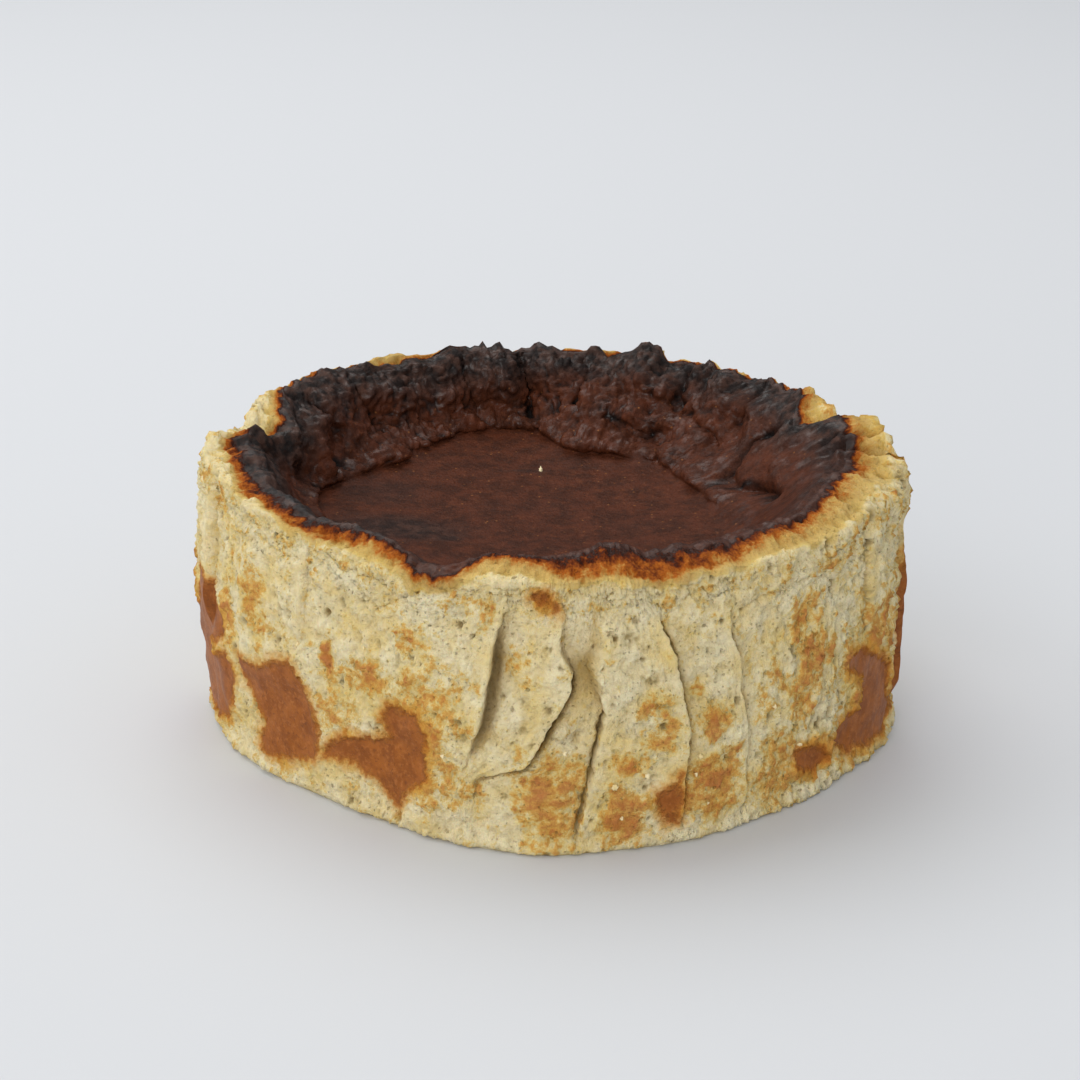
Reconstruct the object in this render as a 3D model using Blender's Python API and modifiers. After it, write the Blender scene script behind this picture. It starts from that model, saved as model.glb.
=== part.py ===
"""A whole Basque cheesecake, turned out of its 15 cm tin and standing on its base.

Metres, Z up, base on z = 0, front towards -Y. Bearings are degrees round the cake as seen
from above: 0 is the front, 90 is +X and 180 is the back. The named sizes are millimetres.

The cake is one solid. It starts as a turned blank one unit wide and one unit tall, and each
ring of the blank is then carried to its place on the real cake: up the pleated side, over
the golden band to the burnt crest, down the crumpled inner wall and across the sunken floor.
"""

import math

import bmesh
import bpy
import numpy as np
from mathutils import Vector, noise

MM = 0.001

# Driving sizes
TIN_RADIUS = 76.0
CAKE_HEIGHT = 67.0
FLOOR_HEIGHT = 46.0
FLOOR_DISH = 2.0
BASE_EDGE_RADIUS = 1.2

# How far the folded paper held the cake in from the tin, at the base and at the top edge
BASE_INSET = {
    -135: 4, -92: 0.2, -80: 2.7, -64: 5, -48: 9, -32: 9.5, -16: 6.3, 0: 3.3, 8: 5,
    24: 5, 36: 6.4, 60: 5.5, 76: 1, 90: -0.6, 130: 3, 160: 2, 180: 3,
}
TOP_INSET = {
    -150: 4.5, -120: 5.5, -105: 8, -99: 8, -90: 2.2, -82: 2.4, -60: 5, -40: 8, -20: 7, 0: 6,
    25: 4.5, 45: 4, 70: 2, 82: 1, 88: 2.5, 95: 4.5, 105: 9, 120: 9.5, 140: 7, 165: 4.5,
}

# How far the side swells past a straight line from base to top edge
SWELL = {-120: 1, -82: 3, -60: 1, 0: 0.8, 82: 0.9, 180: 1}

# How far the top edge falls short of the full height, as the cake sank in cooling
TOP_DROP = {
    -160: 5.5, -145: 5, -120: 4.2, -112: 3.4, -104: 4, -99: 7, -96: 7, -92: 4, -80: 4.5, -60: 7, -40: 9,
    -20: 10, 0: 9.5, 45: 8.5, 70: 7, 82: 6.8, 88: 6.5, 95: 3, 100: 4, 105: 7, 110: 4.6, 118: 3.8, 135: 5.5,
    180: 6,
}

# Torn flaps that stand up from the top edge, each as bearing, half width in degrees and height
TOP_FLAPS = ((97.6, 3.3, 2.0), (90.4, 1.6, 1.2), (115, 1.8, 1.0), (-89, 1.8, 0.9))

# How uneven the top edge and the burnt crest are
TOP_RAGGED = 1.0
CREST_RAGGED = 1.6

# The golden band between the top edge and the burnt crest: its width, its rise and how far it dips between
BAND_WIDTH = {
    -158: 1.8, -150: 3.6, -140: 2.2, -120: 2.6, -100: 8.8, -90: 9, -60: 7.5, -45: 5.4, -34: 6.4,
    -20: 3.4, -13: 6.6, 0: 7, 10: 10.4, 20: 8.7, 54: 8.7, 66: 11.5, 84: 10.5, 95: 8, 101: 6, 106: 10.5,
    110: 9, 118: 3.5, 150: 2.4, 168: 2.4,
}
BAND_RISE = {
    -158: 0.8, -150: -1, -141: 0.8, -114: 0.8, -100: 0, -90: 0.5, -45: 2, -34: 3.2, -20: 0.3, -13: 2.8, -4: 3,
    0: 2.6, 8: 4.4, 20: 3, 54: 2.5, 66: 3.4, 90: 2, 95: 0.5, 106: 0, 118: 0.8, 146: 0.8, 160: 0.6,
}
BAND_DIP = {-110: 0.4, -90: 1.6, -78: 0.8, -60: 0.2, 70: 0.2, 85: 0.8, 100: 0.2, 108: 0.6, 120: 0}

# Radius at which the inner wall meets the floor
FOOT_RADIUS = {
    -163: 57, -151: 53, -133: 46, -113: 49, -100: 54, -75: 50, -40: 52, 0: 51, 35: 48,
    60: 42, 84: 36, 106: 35, 134: 37, 158: 41, 172: 39, 178: 44, 184: 55,
}

# The skin of the inner wall, crumpled as it sank, overhangs the floor at its foot
CRUMPLE_DEPTH = 1.5
FOOT_OVERHANG = 2.6

# Swollen lumps of that wall: bearing, distance down from the crest, half width, half height, how far out
WALL_SWELLS = (
    (-112, 13.5, 9, 5, 2.0), (-126, 8, 6, 5, 1.2), (-169.5, 9, 4.6, 6, 2.2), (-179.5, 9, 4, 7, 1.8),
    (167, 12, 4.4, 8, 1.4), (156, 9, 6, 4.5, 2.4), (139.5, 9.5, 5, 9, 2.4), (123, 8, 6, 6, 1.8),
    (163, 28, 8, 3.2, 1.4), (122, 25.5, 10, 6, 1.8), (95, 9, 12, 9, 0.8),
)

# Creases of that wall: points (bearing, distance down from the crest), depth and half width
WALL_CREASES = (
    (((-97, 10), (-104, 15.5), (-117, 20), (-125, 20.5)), 1.9, 2.4),
    (((-173.5, 2.5), (-174, 7.5), (-175, 11), (-175.5, 16)), 2.6, 2.2),
    (((150, 4), (149, 12), (147, 15.5), (134, 19), (129, 21.5)), 2.2, 2.4),
    (((131, 2), (130, 5), (129, 9), (128.5, 14)), 1.8, 2.2),
    (((111, 8), (117, 14), (114, 17.5), (112, 22), (100, 23), (82, 19)), 2.2, 2.4),
)

# Small peaks of the burnt crest: bearing, half width in degrees and height
CREST_PEAKS = (
    (160.3, 2.6, 4.8), (-168, 1.8, 1.4), (-178.5, 2.4, 1.1), (171.5, 1.8, 1.0), (146.3, 1.8, 2.4),
    (132, 1.6, 0.8), (-93, 1.8, 1.3), (-141, 1.8, 0.7), (-121, 1.8, 0.6),
)

# Pleats pressed into the side by the folded paper, each as (bearing, height) from top to bottom.
# proud is how far the side to its left stands out, or to its right where it is negative.
PLEATS = (
    {"line": ((-7, 54), (-9.5, 45), (-11, 31), (-14, 15)), "proud": 2.4, "reach": 14},
    {"line": ((1.5, 52), (2, 44), (3.5, 38), (1, 30), (-4, 17)), "proud": 2.2, "reach": 9},
    {"line": ((8, 52), (8, 46), (7, 41), (9, 29)), "proud": -2.6, "reach": 8},
    {"line": ((9, 33), (7.5, 22), (5, 0)), "proud": -1.4, "reach": 8},
    {"line": ((17, 53), (20, 38), (22, 25), (22, 3)), "proud": 2.0, "reach": 9},
    {"line": ((29, 50), (31, 39), (33.5, 25), (35, 1)), "proud": 1.6, "reach": 9},
    {"line": ((-46, 57), (-46.5, 40)), "proud": 1.4, "reach": 7},
    {"line": ((-62, 54), (-64.5, 22)), "proud": -1.4, "reach": 8},
    {"line": ((-76, 62), (-77, 26)), "proud": 1.8, "reach": 9},
    {"line": ((62, 60), (66, 32)), "proud": -1.6, "reach": 9},
    {"line": ((80, 62), (84, 26)), "proud": -1.8, "reach": 8},
)
BACK_PLEATS = 9
BACK_PLEAT_SEED = 15
PLEAT_SINK = 0.5

# Open slits along four of those pleats: (bearing, height) and how wide each gapes
SLITS = {
    "slit_left": {"line": ((-7.5, 52), (-9.5, 45), (-10.2, 38), (-11.5, 31), (-14, 17)), "gape": 1.25},
    "slit_lower": {"line": ((3.0, 35), (1, 30), (-2, 23), (-4.5, 18)), "gape": 0.9},
    "slit_middle": {"line": ((9, 31), (8, 24), (6.3, 11), (5.4, 3)), "gape": 1.0},
    "slit_front": {"line": ((17, 50), (20, 38), (22, 27), (22.2, 17), (22, 7)), "gape": 1.1},
    "slit_right": {"line": ((30, 43), (31.5, 36), (33.5, 25), (34.5, 8)), "gape": 0.9},
}

# Rings and columns of the blank
COLUMNS = 156
SIDE_RINGS = 15
BAND_RINGS = 3
WALL_RINGS = 9
FLOOR_RINGS = 5
CREST_AT = 0.9
FOOT_AT = 0.7

CRUMB_COLOUR = (0.60, 0.49, 0.28, 1.0)
BURNT_COLOUR = (0.050, 0.022, 0.014, 1.0)


def ring(values, bearing):
    """The ring's value at each bearing, eased over a few degrees either side."""
    marks = sorted(values)
    sizes = [values[mark] for mark in marks]
    shifts = (-3, -1.5, 0, 1.5, 3)
    return np.mean([np.interp(bearing + shift, marks, sizes, period=360) for shift in shifts], axis=0)


def turn_between(bearing, other):
    """Signed degrees from other to bearing, the short way round."""
    return (bearing - other + 180) % 360 - 180


def ease(value):
    """A smooth step: 0 below 0, 1 above 1."""
    value = np.clip(value, 0, 1)
    return value * value * (3 - 2 * value)


def lumps(x, y, z, size, seed):
    """Soft lumps about size millimetres across, between -1 and 1."""
    shift = Vector((seed * 17.3, seed * 5.1, -seed * 9.7))
    points = zip(np.ravel(x), np.ravel(y), np.ravel(z))
    return np.array([noise.noise(Vector(point) / size + shift) for point in points])


def ragged(bearing, size, seed):
    """Uneven bites round an edge, about size millimetres long, between -1 and 1."""
    turn = np.radians(bearing)
    return lumps(TIN_RADIUS * np.sin(turn), TIN_RADIUS * np.cos(turn), 0 * turn, size, seed)


def top_radius(bearing):
    return TIN_RADIUS - ring(TOP_INSET, bearing)


def top_height(bearing):
    height = CAKE_HEIGHT - ring(TOP_DROP, bearing) + TOP_RAGGED * ragged(bearing, 8, 6)
    for mark, half_width, proud in TOP_FLAPS:
        height += proud * np.exp(-((turn_between(bearing, mark) / half_width) ** 4))
    return height


def all_pleats():
    """The pleats that show from the front, and others like them round the back."""
    draw = np.random.default_rng(BACK_PLEAT_SEED)
    pleats = list(PLEATS)
    for bearing in np.linspace(112, 254, BACK_PLEATS):
        top = bearing + draw.uniform(-5, 5)
        foot = top + draw.uniform(-6, 6)
        line = ((top, draw.uniform(50, 60)), ((top + foot) / 2 + 1, 30), (foot, draw.uniform(4, 16)))
        pleats.append({"line": line, "proud": draw.choice((-1, 1)) * draw.uniform(1.4, 2.6), "reach": 11})
    return pleats


def pleat_relief(bearing, height):
    """How far the pleats push the side out. Each is a ramp that ends in a cliff at the pleat's line."""
    relief = np.zeros_like(bearing)
    for pleat in all_pleats():
        bearings, heights = zip(*reversed(pleat["line"]))
        line = np.interp(height, heights, bearings)
        across = turn_between(bearing, line) * math.radians(TIN_RADIUS)
        if pleat["proud"] < 0:
            across = -across
        cliff = ease(0.5 - across / 2.4) * np.exp(np.minimum(across, 0) / pleat["reach"])
        ends = ease((height - heights[0]) / 6) * ease((heights[-1] - height) / 6)
        relief += abs(pleat["proud"]) * cliff * ends
    return relief


def side_point(bearing, up):
    """Radius and height on the side, where up runs from 0 at the base to 1 at the top edge."""
    height = top_height(bearing) * up
    radius = TIN_RADIUS - ring(BASE_INSET, bearing) * (1 - up) - ring(TOP_INSET, bearing) * up
    radius += ring(SWELL, bearing) * np.sin(math.pi * up)
    turn = np.radians(bearing)
    x, y = radius * np.sin(turn), -radius * np.cos(turn)
    rough = 1.2 * lumps(x, y, height, 13, 1) + 0.7 * lumps(x, y, height, 6, 2)
    foot = ease(height / 4)
    radius += (pleat_relief(bearing, height) - PLEAT_SINK + rough) * foot * ease((1.04 - up) / 0.1)
    return radius - BASE_EDGE_RADIUS * (1 - ease(height / BASE_EDGE_RADIUS)), height


def crest(bearing):
    """Radius and height of the burnt crest."""
    uneven = CREST_RAGGED * (0.3 + 0.7 * back_share(bearing))
    radius = top_radius(bearing) - ring(BAND_WIDTH, bearing) + uneven * ragged(bearing, 9, 7)
    height = top_height(bearing) + ring(BAND_RISE, bearing) + uneven * ragged(bearing, 6, 8)
    for mark, half_width, peak in CREST_PEAKS:
        height += peak * np.exp(-np.abs(turn_between(bearing, mark) / half_width) ** 1.5)
    return radius, height


def back_share(bearing):
    """1 at the back, where the wall is crumpled, falling to 0 in front, where it is smooth."""
    return ease((np.abs(turn_between(bearing, 10)) - 55) / 45)


def band_point(bearing, inward):
    """Radius and height on the golden band, where inward runs from 0 at the top edge to 1 at the crest."""
    crest_radius, crest_height = crest(bearing)
    edge_radius, edge_height = top_radius(bearing), top_height(bearing)
    height = edge_height + (crest_height - edge_height) * np.sin(inward * math.pi / 2)
    height -= ring(BAND_DIP, bearing) * np.sin(inward * math.pi)
    return edge_radius + (crest_radius - edge_radius) * inward, height


def along_line(bearing, down, line):
    """Millimetres on the wall from each point to a line of (bearing, distance down) points."""
    middle = np.mean([mark for mark, _ in line])
    x = np.radians(turn_between(bearing, middle)) * TIN_RADIUS
    marks = [(math.radians(turn_between(mark, middle)) * TIN_RADIUS, below) for mark, below in line]
    nearest = np.full(x.shape, 1e9)
    for (ax, ay), (bx, by) in zip(marks, marks[1:]):
        dx, dy = bx - ax, by - ay
        share = np.clip(((x - ax) * dx + (down - ay) * dy) / (dx * dx + dy * dy), 0, 1)
        nearest = np.minimum(nearest, np.hypot(x - ax - share * dx, down - ay - share * dy))
    return nearest


def wall_relief(bearing, inside):
    """How far the named lumps and creases push the wall inward, at a distance down from the crest."""
    relief = np.zeros_like(bearing)
    for mark, depth, half_width, half_height, proud in WALL_SWELLS:
        across = turn_between(bearing, mark) * math.radians(60) / half_width
        relief += proud * np.exp(-(across**2 + ((inside - depth) / half_height) ** 2) ** 1.3)
    for line, depth, half_width in WALL_CREASES:
        relief -= depth * np.exp(-np.abs(along_line(bearing, inside, line) / half_width) ** 1.4)
    return relief


def wall_point(bearing, down):
    """Radius and height on the inner wall, where down runs from 0 at the crest to 1 at the floor."""
    crest_radius, crest_height = crest(bearing)
    foot_radius = ring(FOOT_RADIUS, bearing)
    slope = ease(down) * 0.55 + down * 0.45
    radius = crest_radius + (foot_radius - crest_radius) * down
    height = crest_height + (FLOOR_HEIGHT - crest_height) * slope
    turn = np.radians(bearing)
    x, y = radius * np.sin(turn), -radius * np.cos(turn)
    folds = 0.9 - 3 * np.abs(lumps(x, y, height, 14, 3)) + lumps(x, y, height, 7, 4)
    crumple = CRUMPLE_DEPTH * folds * (0.25 + 0.75 * back_share(bearing))
    inside = down * np.hypot(foot_radius - crest_radius, crest_height - FLOOR_HEIGHT)
    crumple = (crumple + wall_relief(bearing, inside)) * ease(down / 0.12) * ease((1.02 - down) / 0.1)
    overhang = FOOT_OVERHANG * back_share(bearing) * np.exp(-(((down - 0.84) / 0.1) ** 2))
    return radius - crumple - overhang, height + 0.4 * crumple


def floor_point(bearing, outward):
    """Radius and height on the sunken floor, where outward runs from 0 at the centre to 1 at the wall."""
    radius = ring(FOOT_RADIUS, bearing) * outward
    turn = np.radians(bearing)
    wrinkle = lumps(radius * np.sin(turn), -radius * np.cos(turn), 0 * radius, 16, 5)
    height = FLOOR_HEIGHT - FLOOR_DISH * (1 - outward**2) + 0.5 * wrinkle * ease((1 - outward) / 0.2)
    return radius, height


def blank_profile():
    """Half of the blank's section, from the middle of the top, over the edge, to the middle of the base."""
    floor = [(FOOT_AT * step / FLOOR_RINGS, 1.0) for step in range(FLOOR_RINGS)]
    wall = [(FOOT_AT + (CREST_AT - FOOT_AT) * step / WALL_RINGS, 1.0) for step in range(WALL_RINGS)]
    band = [(CREST_AT + (1 - CREST_AT) * step / BAND_RINGS, 1.0) for step in range(BAND_RINGS)]
    side = [(1.0, 1 - step / SIDE_RINGS) for step in range(SIDE_RINGS)]
    base = [(1.0, 0.0), (0.55, 0.0), (0.0, 0.0)]
    return floor + wall + band + side + base


def turned_blank(collection):
    """The blank as a mesh object, its section turned once round the axis."""
    profile = blank_profile()
    guide_mesh = bpy.data.meshes.new("blank_profile")
    edges = [(index, index + 1) for index in range(len(profile) - 1)]
    guide_mesh.from_pydata([(across, 0, up) for across, up in profile], edges, [])
    guide = bpy.data.objects.new("blank_profile", guide_mesh)
    collection.objects.link(guide)
    screw = guide.modifiers.new("turn", "SCREW")
    screw.steps = screw.render_steps = COLUMNS
    screw.use_merge_vertices = True
    screw.merge_threshold = 0.0001
    bpy.context.view_layer.update()
    graph = bpy.context.evaluated_depsgraph_get()
    mesh = bpy.data.meshes.new_from_object(guide.evaluated_get(graph))
    bpy.data.objects.remove(guide)
    return mesh


def shape_cake(mesh):
    """Carries every point of the blank to its place on the cake."""
    points = np.empty(len(mesh.vertices) * 3)
    mesh.vertices.foreach_get("co", points)
    x, y, up = points.reshape(-1, 3).T
    across = np.hypot(x, y)
    bearing = np.degrees(np.arctan2(x, -y))
    radius = np.zeros_like(across)
    height = np.zeros_like(across)

    on_top = up > 0.9999
    on_base = up < 0.0001
    places = (
        (on_base, lambda b, a, u: (a * side_point(b, u)[0], 0 * a)),
        (~on_top & ~on_base, lambda b, a, u: side_point(b, u)),
        (on_top & (across > CREST_AT), lambda b, a, u: band_point(b, (1 - a) / (1 - CREST_AT))),
        (
            on_top & (across <= CREST_AT) & (across > FOOT_AT),
            lambda b, a, u: wall_point(b, (CREST_AT - a) / (CREST_AT - FOOT_AT)),
        ),
        (on_top & (across <= FOOT_AT), lambda b, a, u: floor_point(b, a / FOOT_AT)),
    )
    for chosen, place in places:
        radius[chosen], height[chosen] = place(bearing[chosen], across[chosen], up[chosen])

    turn = np.radians(bearing)
    placed = np.stack([radius * np.sin(turn), -radius * np.cos(turn), height], axis=1) * MM
    mesh.vertices.foreach_set("co", placed.ravel())
    mesh.update()


def centring_shift(mesh):
    """The move that puts the middle of the cake's box over the origin."""
    corners = np.array([vertex.co[:2] for vertex in mesh.vertices])
    middle = (corners.min(axis=0) + corners.max(axis=0)) / 2
    return (-middle[0], -middle[1], 0)


def surface_material(name, colour, roughness):
    material = bpy.data.materials.new(name)
    material.use_nodes = True
    shader = material.node_tree.nodes["Principled BSDF"]
    shader.inputs["Base Color"].default_value = colour
    shader.inputs["Roughness"].default_value = roughness
    shader.inputs["Metallic"].default_value = 0.0
    return material


def slit_cutter(name, slit, collection):
    """A tube that follows a pleat just under the surface, tapering at both ends."""
    bearings, heights = (np.array(values, float) for values in zip(*slit["line"]))
    steps = np.linspace(0, 1, 9)
    along = np.linspace(0, 1, len(heights))
    bearing = np.interp(steps, along, bearings)
    height = np.interp(steps, along, heights)
    radius, _ = side_point(bearing, height / top_height(bearing))
    radius = radius - 0.45 * slit["gape"]
    turn = np.radians(bearing)
    curve = bpy.data.curves.new(name, "CURVE")
    curve.dimensions = "3D"
    curve.bevel_depth = slit["gape"] * MM
    curve.bevel_resolution = 1
    curve.use_fill_caps = True
    spline = curve.splines.new("POLY")
    spline.points.add(len(steps) - 1)
    for index, point in enumerate(spline.points):
        place = (radius[index] * np.sin(turn[index]), -radius[index] * np.cos(turn[index]), height[index])
        point.co = (*(value * MM for value in place), 1.0)
        point.radius = 0.45 + 0.55 * math.sin(math.pi * steps[index])
    tube = bpy.data.objects.new(name + "_tube", curve)
    collection.objects.link(tube)
    bpy.context.view_layer.update()
    graph = bpy.context.evaluated_depsgraph_get()
    mesh = bpy.data.meshes.new_from_object(tube.evaluated_get(graph))
    bpy.data.objects.remove(tube)
    edit = bmesh.new()
    edit.from_mesh(mesh)
    bmesh.ops.remove_doubles(edit, verts=edit.verts, dist=0.00001)
    bmesh.ops.recalc_face_normals(edit, faces=edit.faces)
    edit.to_mesh(mesh)
    edit.free()
    cutter = bpy.data.objects.new(name, mesh)
    cutter.hide_render = True
    cutter.display_type = "WIRE"
    collection.objects.link(cutter)
    return cutter


def build():
    for old in list(bpy.data.objects):
        bpy.data.objects.remove(old)
    cake_collection = bpy.data.collections.new("basque_cheesecake")
    cutter_collection = bpy.data.collections.new("slit_cutters")
    for collection in (cake_collection, cutter_collection):
        bpy.context.scene.collection.children.link(collection)

    mesh = turned_blank(cake_collection)
    mesh.name = "cheesecake"
    burnt = [all(mesh.vertices[v].co.z > 0.99 for v in face.vertices) and face.center.xy.length < CREST_AT
             for face in mesh.polygons]
    shape_cake(mesh)
    mesh.materials.append(surface_material("baked_crumb", CRUMB_COLOUR, 0.75))
    mesh.materials.append(surface_material("burnt_skin", BURNT_COLOUR, 0.4))
    mesh.polygons.foreach_set("material_index", np.array(burnt, dtype=np.int32))
    mesh.shade_smooth()

    cake = bpy.data.objects.new("cheesecake", mesh)
    cake.location = centring_shift(mesh)
    cake_collection.objects.link(cake)
    for name, slit in SLITS.items():
        cutter = slit_cutter(name, slit, cutter_collection)
        cutter.parent = cake
        cut = cake.modifiers.new(name, "BOOLEAN")
        cut.operation = "DIFFERENCE"
        cut.solver = "EXACT"
        cut.object = cutter


build()
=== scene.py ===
"""The looks of a whole Basque cheesecake, turned out of its tin and standing on its base.

Metres, Z up, base on z = 0, front towards -Y. Bearings are degrees round the cake as seen from
above: 0 is the front, 90 is +X and 180 is the back. The named sizes are millimetres, taken from
the axis of the tin that the cake was baked in.
"""

import math

import bpy
import numpy as np
from mathutils import Matrix, Vector, noise


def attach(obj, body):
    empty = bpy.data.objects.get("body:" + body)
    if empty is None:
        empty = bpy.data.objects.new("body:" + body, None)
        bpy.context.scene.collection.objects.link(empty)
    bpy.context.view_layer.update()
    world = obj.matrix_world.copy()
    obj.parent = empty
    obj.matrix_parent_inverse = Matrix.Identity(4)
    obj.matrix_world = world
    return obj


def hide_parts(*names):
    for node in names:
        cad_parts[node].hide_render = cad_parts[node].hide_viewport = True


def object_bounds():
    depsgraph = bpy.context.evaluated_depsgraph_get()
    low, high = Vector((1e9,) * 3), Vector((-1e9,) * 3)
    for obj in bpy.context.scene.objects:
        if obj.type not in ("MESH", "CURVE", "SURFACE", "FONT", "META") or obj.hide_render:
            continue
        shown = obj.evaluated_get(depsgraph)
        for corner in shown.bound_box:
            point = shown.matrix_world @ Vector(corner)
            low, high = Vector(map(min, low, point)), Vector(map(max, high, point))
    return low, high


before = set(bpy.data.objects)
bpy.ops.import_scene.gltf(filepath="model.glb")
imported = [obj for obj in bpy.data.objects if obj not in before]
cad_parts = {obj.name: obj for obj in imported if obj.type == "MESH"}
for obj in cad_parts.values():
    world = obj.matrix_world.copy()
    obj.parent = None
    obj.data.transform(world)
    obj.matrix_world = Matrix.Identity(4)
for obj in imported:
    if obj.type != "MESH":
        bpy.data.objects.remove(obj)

cad_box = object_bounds()


# ---------------------------------------------------------------------------------------------
# The baked crumb. The body of the cake is a dense baked custard, pale and full of small pores,
# that took the folds of the baking paper in its tin. It is one closed mesh: up the pleated side,
# over the golden band to the burnt crest and a little way down inside, under the burnt top.
# ---------------------------------------------------------------------------------------------

MM = 0.001
TIN_AXIS = (0.39, -0.53)
TIN_RADIUS = 76.0
MM_PER_DEGREE = math.radians(TIN_RADIUS)
CAKE_HEIGHT = 67.0
FLOOR_HEIGHT = 46.0
BASE_EDGE_RADIUS = 1.2

# How far the folded paper held the cake in from the tin, at the base and at the top edge
BASE_INSET = {
    -135: 4, -92: 0.2, -80: 2.7, -64: 5, -48: 9, -32: 9.5, -16: 6.3, 0: 3.3, 8: 5,
    24: 5, 36: 6.4, 60: 5.5, 76: 1, 90: -0.6, 130: 3, 160: 2, 180: 3,
}
TOP_INSET = {
    -150: 4.5, -120: 5.5, -105: 8, -99: 8, -90: 2.2, -82: 2.4, -60: 5, -40: 8, -20: 7, 0: 6,
    25: 4.5, 45: 4, 70: 2, 82: 1, 88: 2.5, 95: 4.5, 105: 9, 120: 9.5, 140: 7, 165: 4.5,
}
SWELL = {-120: 1, -82: 3, -60: 1, 0: 0.8, 82: 0.9, 180: 1}
TOP_DROP = {
    -160: 5.5, -145: 5, -120: 4.2, -112: 3.4, -104: 4, -99: 7, -96: 7, -92: 4, -80: 4.5, -60: 7, -40: 9,
    -20: 10, 0: 9.5, 45: 8.5, 70: 7, 82: 6.8, 88: 6.5, 95: 3, 100: 4, 105: 7, 110: 4.6, 118: 3.8,
    135: 5.5, 180: 6,
}
BAND_WIDTH = {
    -158: 1.5, -150: 4.2, -140: 2, -120: 2.4, -114: 4.2, -108: 6.4, -100: 9.4, -94: 6.6, -90: 9,
    -60: 7.5, -45: 5.4, -34: 6.4, -20: 3, -13: 6.8, 0: 7, 10: 10.6, 20: 8.7, 43: 8.5, 54: 8.7, 66: 11.7,
    84: 10.5, 95: 8, 101: 5.5, 106: 11, 110: 9.5, 117: 3.5, 122: 2, 150: 2.2, 154: 3.2, 158: 2,
    168: 2.6, 174: 1.6,
}
BAND_RISE = {
    -158: 0.8, -150: -1.5, -141: 0.8, -114: 0.8, -108: 0, -100: 0, -90: 0.5, -45: 2, -34: 3.3, -28: 2.5,
    -20: 0, -13: 3, -4: 3.2, 0: 2.6, 8: 4.6, 20: 3, 54: 2.5, 66: 3.5, 90: 2, 95: 0.4, 101: 0.6, 106: 0,
    112: 0, 118: 0.8, 146: 1, 154: -0.2, 160: 0.8, 168: 0, 175: 0.8,
}
BAND_DIP = {-110: 0.4, -90: 1.6, -78: 0.8, -60: 0.2, 70: 0.2, 85: 0.8, 100: 0.2, 108: 0.6, 120: 0}
TOP_RAGGED = 1.0
CREST_RAGGED = 1.6

# Small peaks of the burnt crest, and torn flaps that stand up from the top edge: bearing, half
# width in degrees and height
CREST_PEAKS = (
    (160.6, 3.0, 2.5), (161.0, 1.2, 0.8), (-166.3, 0.7, 1.6), (-169.6, 0.8, 1.7), (-178.5, 2.4, 1.1),
    (171.5, 1.4, 1.2), (146.3, 1.3, 2.4), (143, 1.4, 1.0), (133.6, 1.5, -1.2), (128.4, 2.5, 1.5),
    (101.5, 1.0, 1.2), (-93, 1.6, 1.4), (-141, 1.2, 0.9), (-134, 0.9, 0.7), (-160, 1.0, 0.6),
    (-121, 1.4, 0.8),
)
TOP_FLAPS = (
    (97.6, 3.3, 2.0), (93.2, 0.9, -4.0), (90.4, 1.1, 1.4), (87.6, 1.3, -3.0), (83.6, 0.9, 1.2),
    (-88.5, 1.6, 0.9), (-92.5, 1.2, 0.5), (-84, 1.4, -0.8), (115, 1.6, 0.9), (110.5, 1.2, 0.8),
    (118.4, 1.4, 1.6), (-113, 1.2, 0.7),
)

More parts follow.
